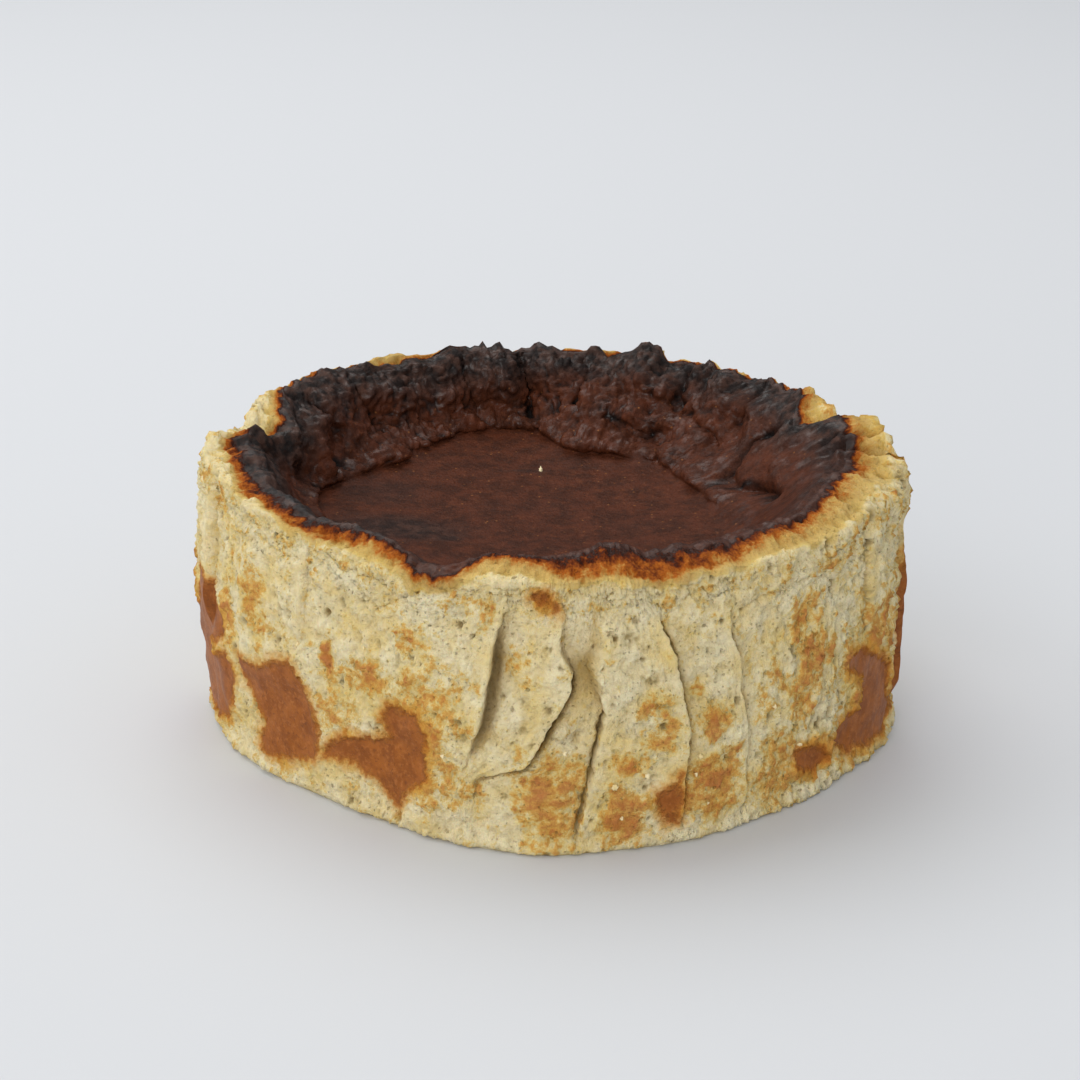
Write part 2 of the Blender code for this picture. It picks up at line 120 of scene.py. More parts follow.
# Pleats that the folded paper pressed into the side. high names the side of the line that stands
# out. Sizes that change along a pleat are given by height: proud is how far it stands out, soft is
# how wide its step is. reach is how far the proud side leans back, fall how far the hollow beside
# the step spreads. A slit runs under the step between the two heights of span.
PLEATS = (
    {
        "line": ((-7, 56), (-7.5, 52), (-9.2, 45), (-9.8, 38), (-10.8, 31), (-12, 24), (-14.3, 16)),
        "high": "left", "proud": {56: 0.6, 50: 1.8, 42: 2.6, 30: 2.4, 16: 0.8}, "soft": {0: 0.7},
        "reach": 14, "fall": 5, "slit": 2.0, "gape": 1.0, "open": 2.2, "span": (17, 50),
    },
    {
        "line": (
            (1.2, 55), (1.6, 48), (1.5, 44), (3.1, 40), (3, 36), (1.8, 33), (-0.2, 28), (-2.2, 23),
            (-4.2, 19), (-9.3, 17), (-12.3, 15), (-11.8, 5),
        ),
        "high": "left", "proud": {55: 0.6, 46: 1.6, 38: 2.2, 20: 1.8, 14: 0.8, 5: 0.4}, "soft": {0: 0.8},
        "reach": 9, "fall": 4, "slit": 1.9, "gape": 0.65, "open": 1.4, "span": (10, 42),
    },
    {
        "line": (
            (8.4, 54), (7.7, 46), (6.5, 41), (7.2, 37), (9, 31), (8, 24), (7.1, 18), (6.1, 11),
            (5.2, 6), (4.6, 0),
        ),
        "high": "right", "proud": {54: 0.6, 44: 2.6, 36: 2.4, 28: 1.5, 0: 0.9}, "soft": {34: 0.7, 38: 2.6},
        "reach": 8, "fall": 4, "slit": 2.2, "gape": 0.65, "span": (-1, 35),
    },
    {
        "line": (
            (15.5, 54), (16.7, 51), (18.2, 45), (19.8, 38), (21.7, 28), (22, 22), (21.6, 17), (22, 2),
        ),
        "high": "left", "proud": {54: 0.8, 44: 2.2, 20: 2, 2: 1}, "soft": {0: 0.7},
        "reach": 9, "fall": 4.5, "slit": 2.2, "gape": 0.7, "span": (2, 53),
    },
    {
        "line": (
            (28.5, 53), (29.4, 45), (29.7, 43), (31.1, 39), (31.7, 32), (33.4, 25), (34.2, 19),
            (34.1, 12), (35, 2),
        ),
        "high": "left", "proud": {53: 0.6, 40: 1.6, 2: 1}, "soft": {0: 0.8},
        "reach": 9, "fall": 4, "slit": 2.0, "gape": 0.55, "span": (2, 50),
    },
    {
        "line": ((-45.5, 58), (-45.8, 53), (-46.2, 44), (-47, 34)),
        "high": "left", "proud": {0: 1.4}, "soft": {0: 1.2}, "reach": 7, "fall": 4,
    },
    {
        "line": ((-61.5, 56), (-61.7, 47), (-63.5, 28), (-64.5, 20)),
        "high": "right", "proud": {0: 1.4}, "soft": {0: 1.0}, "reach": 8, "fall": 3,
    },
    {
        "line": ((-75.5, 63), (-76, 44), (-77, 24)),
        "high": "left", "proud": {0: 1.8}, "soft": {0: 1.2}, "reach": 9, "fall": 4,
    },
    {
        "line": ((61.5, 60), (63, 46), (66, 30)),
        "high": "right", "proud": {0: 1.6}, "soft": {0: 1.2}, "reach": 9, "fall": 4,
    },
    {
        "line": ((80, 63), (82, 44), (84, 24), (85, 5)),
        "high": "right", "proud": {0: 1.8}, "soft": {0: 1.2}, "reach": 8, "fall": 4,
    },
)
BACK_PLEATS = 9
BACK_BEARINGS = (112, 254)
BACK_PLEAT_SEED = 15

# How far the side lies back between its pleats. The hollow beside a pleat's step and the lean of
# the step are shares of how proud the pleat is, and only a step narrower than SHARP_STEP leans
PLEAT_SINK = 1.0
HOLLOW_DEPTH = 0.45
EDGE_LEAN = 0.28
SHARP_STEP = 1.5

# Pleats and slits fade out over these lengths at their ends, and their torn edges stray from their
# lines in small jags and in longer sways
PLEAT_END = 6
SLIT_END = 9
LINE_JAG = 0.12
LINE_SWAY = 0.35

# Single bumps, pits and chips of the front: bearing, height, half width, half height and how far out
BUMPS = (
    (1.7, 27, 1.8, 1.9, 2.4), (4.3, 25.4, 0.9, 1.8, -2.2), (11, 39, 5, 7, 0.7), (-28, 56, 7, 2.4, 0.9),
    (-26, 50.6, 3.2, 1.0, -1.0), (-33, 54, 4.5, 0.8, -0.9), (-19, 56.5, 6, 1.6, 0.8),
    (-8, 57, 5, 1, 0.6), (27, 58, 4, 1.6, 1.1), (60.5, 62, 1.3, 1.4, -2.2), (62, 58.5, 2.6, 2.4, -1.6),
    (72, 60, 6, 7, 1.2), (78, 60, 1.2, 9, -1.6), (-84, 61, 5, 6, 0.9), (-66, 58, 1.0, 1.6, -1.2),
    (-14, 10, 9, 0.8, -0.7), (6, 50, 4, 5, -0.5), (36, 52, 6, 4, 0.5), (53, 55, 5, 5, 0.6),
    (-91, 53.5, 5, 1.2, -1.0), (-92, 47.5, 3, 1.8, 0.7), (-77, 58, 1.0, 1.8, -0.9),
    (-70, 52, 1.2, 5, -0.8), (40, 55.5, 2.4, 1.6, 0.9), (47, 50, 1.2, 1.0, -0.9),
    (22, 55.5, 2.2, 2.4, -0.7), (27.5, 49, 1.6, 2.4, 0.6), (-24, 36, 5, 4, 0.4), (-52, 30, 6, 6, 0.5),
    (-42, 50, 5, 4, 0.5), (86, 50, 2, 4, -1.2), (88, 33, 3, 6, 0.6), (57, 44, 3, 7, -0.5),
    (50, 20, 6, 5, 0.5),
)

# Fine cracks and the edges of loose flakes: points (bearing, height), depth and half width
CRACKS = (
    (((-18, 56.6), (-13, 56.9), (-8, 56.4), (-2, 56.6)), 0.8, 0.5),
    (((-16, 54.6), (-11, 54.9), (-6, 54.3)), 0.5, 0.4),
    (((-31.5, 57.5), (-29.5, 53.5), (-25, 51.5), (-22, 53)), 0.9, 0.5),
    (((-31.5, 49.5), (-30, 47.3), (-26, 50)), 0.9, 0.5),
    (((-40, 55.5), (-36, 53.4), (-33.5, 54.8)), 0.6, 0.5),
    (((-56, 54), (-51, 52.6), (-46, 53)), 0.5, 0.5),
    (((3, 56.8), (9, 57.2), (15, 56.2), (19, 57)), 0.6, 0.5),
    (((24, 55), (26.5, 53), (31, 53.4)), 0.7, 0.5),
    (((33, 50), (37, 51.5), (41, 50.6), (45, 52)), 0.6, 0.5),
    (((47, 58), (50, 55), (54, 56.4), (58, 55)), 0.6, 0.6),
    (((-12, 15.5), (-6, 17.4), (-3, 17)), 0.7, 0.5),
    (((11, 43), (15, 44.5), (17.5, 43.6)), 0.4, 0.4),
    (((23, 41), (26, 40.4), (29, 41.6)), 0.5, 0.4),
)


def ring(values, bearing):
    """The ring's value at each bearing, eased over a few degrees either side."""
    marks = sorted(values)
    sizes = [values[mark] for mark in marks]
    shifts = (-3, -1.5, 0, 1.5, 3)
    return np.mean([np.interp(bearing + shift, marks, sizes, period=360) for shift in shifts], axis=0)


def by_height(values, height):
    """The value at each height, between heights that are named."""
    marks = sorted(values)
    return np.interp(height, marks, [values[mark] for mark in marks])


def turn_between(bearing, other):
    """Signed degrees from other to bearing, the short way round."""
    return (bearing - other + 180) % 360 - 180


def arc_between(bearing, other):
    """Signed millimetres round the tin from other to bearing."""
    return turn_between(bearing, other) * MM_PER_DEGREE


def ease(value):
    """A smooth step: 0 below 0, 1 above 1."""
    value = np.clip(value, 0, 1)
    return value * value * (3 - 2 * value)


def bell(offset, width, power=2):
    """1 in the middle, falling away on both sides: the higher the power, the steeper."""
    return np.exp(-np.abs(offset / width) ** power)


def spot(bearing, radius, height):
    """Points at these bearings, radii and heights, one row of x, y, z for each."""
    turn = np.radians(bearing)
    return np.stack(np.broadcast_arrays(radius * np.sin(turn), -radius * np.cos(turn), height), axis=-1)


def each_place(places, size, shift, reading):
    """What reading gives at each point of a pattern that is scaled to size and then shifted."""
    found = [reading(place) for place in (places / size + np.array(shift)).reshape(-1, 3).tolist()]
    return np.array(found).reshape(places.shape[:-1])


def lumps(places, size, seed):
    """Soft lumps about size millimetres across, between -1 and 1. size may differ along x, y and z."""
    return each_place(places, size, (seed * 17.3, seed * 5.1, -seed * 9.7), noise.noise)


def rough(places, size, seed, octaves=4, fineness=0.9):
    """Uneven relief whose largest lumps are size millimetres across, finer where fineness is low."""
    shift = (seed * 7.9, -seed * 13.7, seed * 3.3)
    return each_place(places, size, shift, lambda place: noise.fractal(place, fineness, 2.1, octaves))


def terraces(levels, edge):
    """Levels cut into flat steps, each step's edge a share of it wide, with the slope taken out."""
    return np.floor(levels) + ease((levels - np.floor(levels)) / edge) - levels


def pits(places, size, seed, share):
    """Round pits on about share of the cells of a loose pattern size millimetres wide, 0 to 1 deep."""
    smallest, growth, softness = 0.12, 0.25, 0.12

    def depth(place):
        distances, centres = noise.voronoi(place)
        key = noise.cell_vector(centres[0] * 9)[0]
        width = smallest + growth * key / share if key < share else 0.0
        return (width - distances[0]) / softness

    return ease(each_place(places, size, (seed * 11.1, seed * 6.3, seed * 2.9), depth))


def ragged(bearing, size, seed):
    """Uneven bites round an edge, about size millimetres long, between -1 and 1."""
    turn = np.radians(bearing)
    edge = np.stack((TIN_RADIUS * np.sin(turn), TIN_RADIUS * np.cos(turn), 0 * turn), axis=-1)
    return lumps(edge, size, seed)


def unrolled(bearing, line):
    """Bearings, and the points of a line on the side, in millimetres round from the line's middle."""
    middle = np.mean([mark for mark, _ in line])
    return arc_between(bearing, middle), [(arc_between(mark, middle), up) for mark, up in line]


def nearest_stretch(x, y, corners):
    """Distance from each point to a line of straight stretches between corners."""
    nearest = np.inf
    for (ax, ay), (bx, by) in zip(corners, corners[1:]):
        dx, dy = bx - ax, by - ay
        share = np.clip(((x - ax) * dx + (y - ay) * dy) / (dx * dx + dy * dy), 0, 1)
        nearest = np.minimum(nearest, np.hypot(x - ax - share * dx, y - ay - share * dy))
    return nearest


def along_line(bearing, height, line):
    """Millimetres on the side from each point to a line of (bearing, height) points."""
    x, corners = unrolled(bearing, line)
    return nearest_stretch(x, height, corners)


def outline_distance(bearing, height, outline):
    """Millimetres from each point of the side to a patch's outline, negative inside it."""
    x, corners = unrolled(bearing, outline)
    corners.append(corners[0])
    inside = np.zeros(x.shape, bool)
    for (ax, ay), (bx, by) in zip(corners, corners[1:]):
        crosses = (ay > height) != (by > height)
        with np.errstate(divide="ignore", invalid="ignore"):
            inside ^= crosses & (x < (bx - ax) * (height - ay) / (by - ay) + ax)
    nearest = nearest_stretch(x, height, corners)
    return np.where(inside, -nearest, nearest)


def humps(bearing, level, marks, radius, steepness):
    """How far lumps push out a wall of this radius: bearing, level, half sizes and height of each."""
    relief = np.zeros(np.broadcast(bearing, level).shape)
    for mark, middle, half_width, half_height, proud in marks:
        across = turn_between(bearing, mark) * math.radians(radius) / half_width
        relief += proud * np.exp(-(across**2 + ((level - middle) / half_height) ** 2) ** steepness)
    return relief


def grooves(bearing, level, lines, steepness):
    """How deep cracks or creases cut: the points, depth and half width of each."""
    return sum(
        depth * bell(along_line(bearing, level, line), half_width, steepness)
        for line, depth, half_width in lines
    )


def tabs(bearing, marks):
    """Flaps of an edge with steep sides: bearing, half width in degrees and height of each."""
    return sum(proud * bell(turn_between(bearing, mark), half_width, 4) for mark, half_width, proud in marks)


def top_height(bearing):
    """Height of the torn top edge of the side."""
    height = CAKE_HEIGHT - ring(TOP_DROP, bearing) + TOP_RAGGED * ragged(bearing, 8, 6)
    return height + tabs(bearing, TOP_FLAPS) + 0.5 * ragged(bearing, 2.6, 9)


# Where the burnt wall is smooth: the middle bearing, degrees to either side, and over how many more
# it turns into the crumpled back
SMOOTH_WALL = (10, 55, 45)


def back_share(bearing):
    """1 at the back, where the wall is crumpled, falling to 0 in front, where it is smooth."""
    middle, half_width, fade = SMOOTH_WALL
    return ease((np.abs(turn_between(bearing, middle)) - half_width) / fade)


def all_pleats():
    """The pleats that show from the front, and others like them round the back."""
    draw = np.random.default_rng(BACK_PLEAT_SEED)
    pleats = list(PLEATS)
    for bearing in np.linspace(*BACK_BEARINGS, BACK_PLEATS):
        top = bearing + draw.uniform(-5, 5)
        foot = top + draw.uniform(-6, 6)
        line = ((top, draw.uniform(50, 60)), ((top + foot) / 2 + 1, 30), (foot, draw.uniform(4, 16)))
        high = "left" if draw.choice((-1, 1)) > 0 else "right"
        proud = draw.uniform(1.4, 2.6)
        pleats.append({
            "line": line, "high": high, "proud": {0: proud}, "soft": {0: 0.9}, "reach": 11, "fall": 4,
            "slit": proud - 0.6, "gape": 0.4, "span": (line[2][1], line[0][1] - 6),
        })
    return pleats


def line_jag(pleat, height):
    """How far the pleat's torn edge strays to the right of its line, in millimetres."""
    along = np.stack((0 * height, 0 * height + pleat["line"][0][0] * 3.7, height), axis=-1)
    fine = LINE_JAG * (lumps(along, 2.2, 21) + 0.25 * lumps(along, 0.9, 22))
    return fine + LINE_SWAY * lumps(along, 6, 23)


def pleat_middle(pleat, height):
    """Bearing of the pleat's line at each height."""
    bearings, heights = zip(*reversed(pleat["line"]))
    return np.interp(height, heights, bearings)


def pleat_line(pleat, height):
    """The pleat's bearing at each height, with the small jags of a torn edge."""
    return pleat_middle(pleat, height) + np.degrees(line_jag(pleat, height) / TIN_RADIUS)


def from_pleat(pleat, bearing, height):
    """Millimetres from the pleat's torn edge, positive to its right."""
    side = np.where(turn_between(bearing, pleat_middle(pleat, height)) < 0, -1, 1)
    return side * along_line(bearing, height, pleat["line"]) - line_jag(pleat, height)


def pleat_relief(bearing, height):
    """How far the pleats push the side out, how far their edges lean over, and their hollows."""
    relief, lean, hollow = (np.zeros_like(bearing) for _ in range(3))
    for pleat in all_pleats():
        heights = [mark for _, mark in pleat["line"]]
        side = 1 if pleat["high"] == "left" else -1
        across = side * from_pleat(pleat, bearing, height)
        proud = by_height(pleat["proud"], height)
        proud = proud * ease((height - min(heights)) / PLEAT_END) * ease((max(heights) - height) / PLEAT_END)
        soft = by_height(pleat["soft"], height)
        step = ease(0.5 - across / soft)
        low = (1 - step) * np.exp(-np.maximum(across, 0) / pleat["fall"])
        relief += proud * step * np.exp(np.minimum(across, 0) / pleat["reach"])
        relief -= HOLLOW_DEPTH * proud * low
        # The hollows, and the slits below, are where the material paints shade
        hollow += proud * low
        lean += side * EDGE_LEAN * proud * step * bell(across + 0.4, 1.2) * (soft < SHARP_STEP)
        if "slit" in pleat:
            slit_foot, slit_top = pleat["span"]
            open_share = ease((height - slit_foot) / SLIT_END) * ease((slit_top - height) / SLIT_END)
            gape = pleat["gape"] * (0.5 + 0.5 * open_share)
            past_slit = across - 0.9 * gape
            beyond = np.where(past_slit > 0, pleat.get("open", 1.0), 1.0)
            groove = open_share * bell(past_slit, gape * beyond, 2.6)
            relief -= pleat["slit"] * groove
            hollow += 1.5 * groove
    return relief, lean, hollow


def side_form(bearing, up):
    """Radius and height on the side without relief, where up runs from 0 at the base to 1 at the top."""
    radius = TIN_RADIUS - ring(BASE_INSET, bearing) * (1 - up) - ring(TOP_INSET, bearing) * up
    return radius + ring(SWELL, bearing) * np.sin(math.pi * up), top_height(bearing) * up


def crest(bearing):
    """Radius and height of the burnt crest."""
    uneven = 0.3 + 0.7 * back_share(bearing)
    radius = TIN_RADIUS - ring(TOP_INSET, bearing) - ring(BAND_WIDTH, bearing)
    radius += CREST_RAGGED * ragged(bearing, 9, 7) * uneven
    radius += (0.5 + 0.5 * back_share(bearing)) * ragged(bearing, 2.4, 31)
    height = top_height(bearing) + ring(BAND_RISE, bearing) + tabs(bearing, CREST_PEAKS)
    height += CREST_RAGGED * ragged(bearing, 6, 8) * uneven
    height += (0.8 * ragged(bearing, 2.2, 32) + 0.6 * ragged(bearing, 1.1, 33)) * uneven
    return radius, height


def eased_crest(bearing):
    """Radius and height of the crest, evened out over several degrees."""
    nearby = [bearing + shift for shift in (-9, -6, -3, 0, 3, 6, 9)]
    inset = np.mean([ring(TOP_INSET, near) + ring(BAND_WIDTH, near) for near in nearby], axis=0)
    drop = np.mean([ring(TOP_DROP, near) - ring(BAND_RISE, near) for near in nearby], axis=0)
    return TIN_RADIUS - inset, CAKE_HEIGHT - drop


# The wall inside the crest, and the floor it comes down to
FOOT_RADIUS = {
    -163: 57, -151: 53, -133: 46, -113: 49, -100: 54, -75: 50, -40: 52, 0: 51, 35: 48,
    60: 42, 84: 36, 106: 35, 134: 37, 158: 41, 172: 39, 178: 44, 184: 55,
}
WALL_RADIUS = 60

# How far the wall is crumpled, how far its foot overhangs the floor and where that is, as a share
# of the way down, and how far the crest's ragged edge is felt down the wall
CRUMPLE_DEPTH = 1.5
FOOT_OVERHANG = 2.6
OVERHANG_PLACE = 0.84
CREST_REACH = 5.5

# The share of the crumpling left on the right, where the wall slopes down smoothly
CALM_RIGHT = {60: 1, 80: 0.5, 118: 0.45, 135: 1}

# Swollen lumps of the wall: bearing, distance down from the crest, half width, half height, how far out
WALL_SWELLS = (
    (-112, 13.5, 9, 5, 2.4), (-126, 8, 6, 5, 1.6), (-133, 20.5, 3.4, 2.2, 1.8),
    (-152, 19.6, 4, 2.2, 1.8), (-143, 12, 4, 5, 1.5), (-156, 9, 4, 5, 1.6), (-169.5, 9, 4.2, 6, 2.8),
    (-179.5, 9, 3.6, 7, 2.2), (167, 12, 4, 8, 1.8), (156, 9, 6, 4, 3.0), (158, 16.5, 2.6, 3.4, 1.8),
    (139.5, 9.5, 4.6, 9, 2.8), (123, 8, 5, 6, 2.0), (163, 29, 8, 2.6, 1.6), (122, 25.5, 10, 6, 1.8),
    (140, 24, 5, 3, 1.4), (95, 9, 12, 9, 0.8), (-98, 5, 5, 5, 0.8),
)

# Creases of the wall: points (bearing, distance down from the crest), depth and half width
WALL_CREASES = (
    (((-97, 10), (-104, 15.5), (-117, 20), (-125, 20.5)), 1.9, 1.8),
    (((-120, 2), (-119, 8), (-121, 13)), 1.4, 1.2),
    (((-134, 4), (-133, 10), (-136, 16)), 1.2, 1.2),
    (((-162, 2), (-161, 8), (-163, 14)), 1.3, 1.0),
    (((-173.5, 2.5), (-174, 7.5), (-175, 11), (-175.5, 16)), 3.0, 1.5),
    (((173, 3), (172, 9), (174, 17)), 1.4, 1.2),
    (((150, 4), (149, 12), (147, 15.5), (134, 19), (129, 21.5)), 2.4, 1.6),
    (((131, 2), (130, 5), (129, 9), (128.5, 14)), 2.0, 1.4),
    (((111, 8), (117, 14), (114, 17.5), (112, 22), (100, 23), (82, 19)), 2.8, 1.6),
    (((97, 6), (101, 11), (99, 17)), 0.9, 1.4),
    (((165, 21), (150, 23), (143, 29)), 1.2, 1.2),
)


def wall_relief(bearing, inside):
    """How far the named lumps and creases push the wall inward, at a distance down from the crest."""
    swollen = humps(bearing, inside, WALL_SWELLS, WALL_RADIUS, 1.3)
    return swollen - grooves(bearing, inside, WALL_CREASES, 1.4)


def wall_form(bearing, down):
    """Radius and height on the inner wall, where down runs from 0 at the crest to 1 at the floor."""
    ragged_radius, ragged_height = crest(bearing)
    crest_radius, crest_height = eased_crest(bearing)
    foot_radius = ring(FOOT_RADIUS, bearing)
    inside = down * np.hypot(foot_radius - crest_radius, crest_height - FLOOR_HEIGHT)
    uneven = np.exp(-inside / CREST_REACH)
    radius = crest_radius + (foot_radius - crest_radius) * down + (ragged_radius - crest_radius) * uneven
    height = crest_height + (FLOOR_HEIGHT - crest_height) * (ease(down) * 0.55 + down * 0.45)
    height += (ragged_height - crest_height) * uneven
    places = spot(bearing, radius, height)
    folds = 0.9 - 3 * np.abs(lumps(places, 14, 3)) + lumps(places, 7, 4)
    crumple = CRUMPLE_DEPTH * folds * (0.25 + 0.75 * back_share(bearing)) * ring(CALM_RIGHT, bearing)
    crumple += wall_relief(bearing, inside)
    crumple *= ease(down / 0.12) * ease((1.02 - down) / 0.1)
    overhang = FOOT_OVERHANG * back_share(bearing) * bell(down - OVERHANG_PLACE, 0.1)
    return radius - crumple - overhang, height + 0.4 * crumple


# Columns of the mesh run up the side. They crowd towards the front and towards each pleat of the
# front, and lean with those pleats, so that the pleats' edges stay sharp.
CRUMB_COLUMNS = 800
FRONT_CROWDING = 0.45
PLEAT_CROWDING = 1.3
PLEAT_CROWDING_WIDTH = 1.6
FRONT_PLEATS = PLEATS[:5]
STILL_BEARINGS = (-38, 48)

# Rows from the base up: the lowest are named, the others even, and finer above FINE_TOP
FOOT_ROWS = (0, 0.006, 0.014, 0.024, 0.036)
SIDE_START = 0.047
SIDE_ROWS = 102
FINE_TOP = 0.8
TOP_EDGE_ROWS = 26
BAND_ROWS = 13
TUCK_ROWS = 6
TUCK_LENGTH = 4.5
TUCK_SINK = 0.9


def crowded_columns(count, crowding):
    """Bearings of columns round the cake, closest together where crowding(bearing) is highest."""
    fine = np.linspace(-180, 180, 36001)
    density = crowding(fine)
    total = np.concatenate(([0], np.cumsum((density[1:] + density[:-1]) / 2)))
    return np.interp(np.arange(count) / count, total / total[-1], fine)


def middle_bearing(pleat):
    return float(np.mean(pleat_middle(pleat, np.linspace(4, 54, 26))))


def crumb_crowding(bearing):
    """How closely the columns of the side stand."""
    marks = [middle_bearing(pleat) for pleat in FRONT_PLEATS]
    beside_pleats = sum(bell(bearing - mark, PLEAT_CROWDING_WIDTH) for mark in marks)
    return 1 + FRONT_CROWDING * np.cos(np.radians(bearing)) + PLEAT_CROWDING * beside_pleats


def leaning(column, height):
    """The bearing of each column at each height, moved along with the front pleats."""
    left_end, right_end = STILL_BEARINGS
    rest = [left_end, *(middle_bearing(pleat) for pleat in FRONT_PLEATS), right_end]
    moved = [left_end, *(pleat_line(pleat, height) for pleat in FRONT_PLEATS), right_end]
    bearing = column + 0 * height
    for left, right, moved_left, moved_right in zip(rest, rest[1:], moved, moved[1:]):
        within = (column >= left) & (column < right)
        share = (column - left) / (right - left)
        bearing = np.where(within, moved_left + share * (moved_right - moved_left), bearing)
    return bearing


def grid_normals(places):
    """Outward directions of a grid of points: rows run up and inward, columns run round the cake."""
    along = np.roll(places, -1, axis=1) - np.roll(places, 1, axis=1)
    normals = np.cross(along, np.gradient(places, axis=0))
    return normals / np.maximum(np.linalg.norm(normals, axis=-1, keepdims=True), 1e-9)


def crumb_side(column):
    """The side of the crumb from the base to its top edge, with its pleats."""
    top_start = SIDE_ROWS - TOP_EDGE_ROWS - len(FOOT_ROWS)
    up = np.concatenate((
        FOOT_ROWS, np.linspace(SIDE_START, FINE_TOP, top_start, endpoint=False),
        np.linspace(FINE_TOP, 1, TOP_EDGE_ROWS),
    ))[:, None]
    height = top_height(column)[None, :] * up
    bearing = leaning(column[None, :] + 0 * height, height)
    radius, height = side_form(bearing, up)
    relief, lean, hollow = pleat_relief(bearing, height)
    places = spot(bearing, radius, height)
    relief = relief - PLEAT_SINK + 1.2 * lumps(places, 13, 1) + 0.7 * lumps(places, 6, 2)
    relief += humps(bearing, height, BUMPS, TIN_RADIUS, 1.4) - grooves(bearing, height, CRACKS, 2)
    share = ease(height / 4) * ease((1.04 - up) / 0.1)
    radius = radius + relief * share - BASE_EDGE_RADIUS * (1 - ease(height / BASE_EDGE_RADIUS))
    bearing = bearing + np.degrees(lean * share / TIN_RADIUS)
    return bearing, radius, height, lean * share, hollow * share


def crumb_points():
    """The grid of points of the crumb from base edge to tuck, with what its finish depends on."""
    bearing, radius, height, lean, hollow = crumb_side(crowded_columns(CRUMB_COLUMNS, crumb_crowding))
    edge_bearing, edge_radius, edge_height = bearing[-1], radius[-1], height[-1]

    inward = np.linspace(0, 1, BAND_ROWS + 1)[1:, None]
    crest_radius, crest_height = crest(edge_bearing)
    band_length = np.hypot(crest_radius - edge_radius, crest_height - edge_height)
    band_radius = edge_radius + (crest_radius - edge_radius) * inward
    band_height = edge_height + (crest_height - edge_height) * np.sin(inward * math.pi / 2)
    band_height -= ring(BAND_DIP, edge_bearing) * np.sin(inward * math.pi)

    wall_length = np.hypot(ring(FOOT_RADIUS, edge_bearing) - crest_radius, crest_height - FLOOR_HEIGHT)
    inside = np.linspace(0, TUCK_LENGTH, TUCK_ROWS + 1)[1:, None]
    tuck_radius, tuck_height = wall_form(edge_bearing[None, :] + 0 * inside, inside / wall_length)

    rim = np.zeros((BAND_ROWS + TUCK_ROWS, CRUMB_COLUMNS))
    bearing = np.concatenate((bearing, edge_bearing + rim))
    past_edge = np.concatenate((height - edge_height, inward * band_length, band_length + inside))
    radius = np.concatenate((radius, band_radius, tuck_radius))
    height = np.concatenate((height, band_height, tuck_height))
    return {
        "places": spot(bearing, radius, height), "bearing": bearing,
        "wrapped": spot(bearing, TIN_RADIUS, past_edge + edge_height),
        "past_crest": past_edge - band_length, "past_edge": past_edge,
        "hollow": np.concatenate((hollow, rim)), "lean": np.concatenate((lean, rim)),
    }


# Smooth caramel patches, where the side lay hard against the buttered paper: (bearing, height)
CARAMEL_PATCHES = (
    (
        (-65, 24.5), (-59, 24.5), (-55, 27.5), (-50, 29), (-47.5, 26), (-46, 23), (-45, 18),
        (-44.5, 14), (-46, 8.5), (-51, 6.5), (-58, 5), (-60, 8), (-58, 13), (-60, 17), (-64, 20),
    ),
    (
        (-29, 24), (-28, 26.5), (-22, 27.5), (-20.5, 23), (-21, 13), (-25, 8), (-27, 4.5), (-31, 8.5),
        (-36, 11.5), (-43, 11), (-41.5, 14), (-38, 17), (-32, 18), (-28, 20.5),
    ),
    (
        (-80.5, 38), (-78, 37), (-74.5, 34), (-71, 30.5), (-70.5, 27), (-73, 24.5), (-77, 23),
        (-79, 21), (-78, 19), (-74, 20.5), (-69.5, 22.5), (-67.5, 18), (-69, 12), (-72, 7.5),
        (-78, 4.5), (-92, 3), (-98, 20), (-88, 25), (-82.5, 30),
    ),
    (
        (61, 29), (65, 28), (74, 22), (77.5, 17), (76, 13), (80, 7), (77, 3.5), (71, 4), (62, 6),
        (56, 11), (60, 14), (66, 14), (68, 17), (65, 22), (60, 26),
    ),
    ((46.5, 12.5), (51, 12.5), (55, 8), (51, 6.5), (46.5, 9.5)),
    ((17.2, 11.5), (19.4, 14.5), (21.2, 16.2), (21.1, 5.5), (19.6, 6)),
    ((-2.6, 54.8), (-0.6, 55), (0.8, 52.2), (-0.8, 53)),
    (
        (85, 60), (83.5, 50), (82.5, 40), (81.5, 30), (80, 22), (79, 14), (80, 7), (84, 5), (90, 6),
        (97, 10), (94, 18), (99, 24), (104, 33), (98, 40), (99, 48), (94, 54), (89, 58),
    ),
    (
        (132, 9), (134, 16), (133, 24), (136, 31), (142, 33), (146, 28), (147, 21), (151, 15),
        (150, 8.5), (142, 6),
    ),
    (
        (184, 7), (183, 14), (186, 21), (190, 26), (196, 25), (203, 27), (205, 20), (202, 13), (204, 7),
        (197, 4.5),
    ),
    (
        (230, 17), (229, 25), (232, 33), (233, 42), (239, 44), (243, 38), (241, 29), (242, 20),
        (237, 14),
    ),
    ((160, 9), (163, 12.5), (167, 10.5), (165, 6)),
    ((214, 30), (216, 33.5), (219.5, 31), (217, 27)),
)

# Distances to a patch are kept up to here
FAR_FROM_PATCH = 9.0

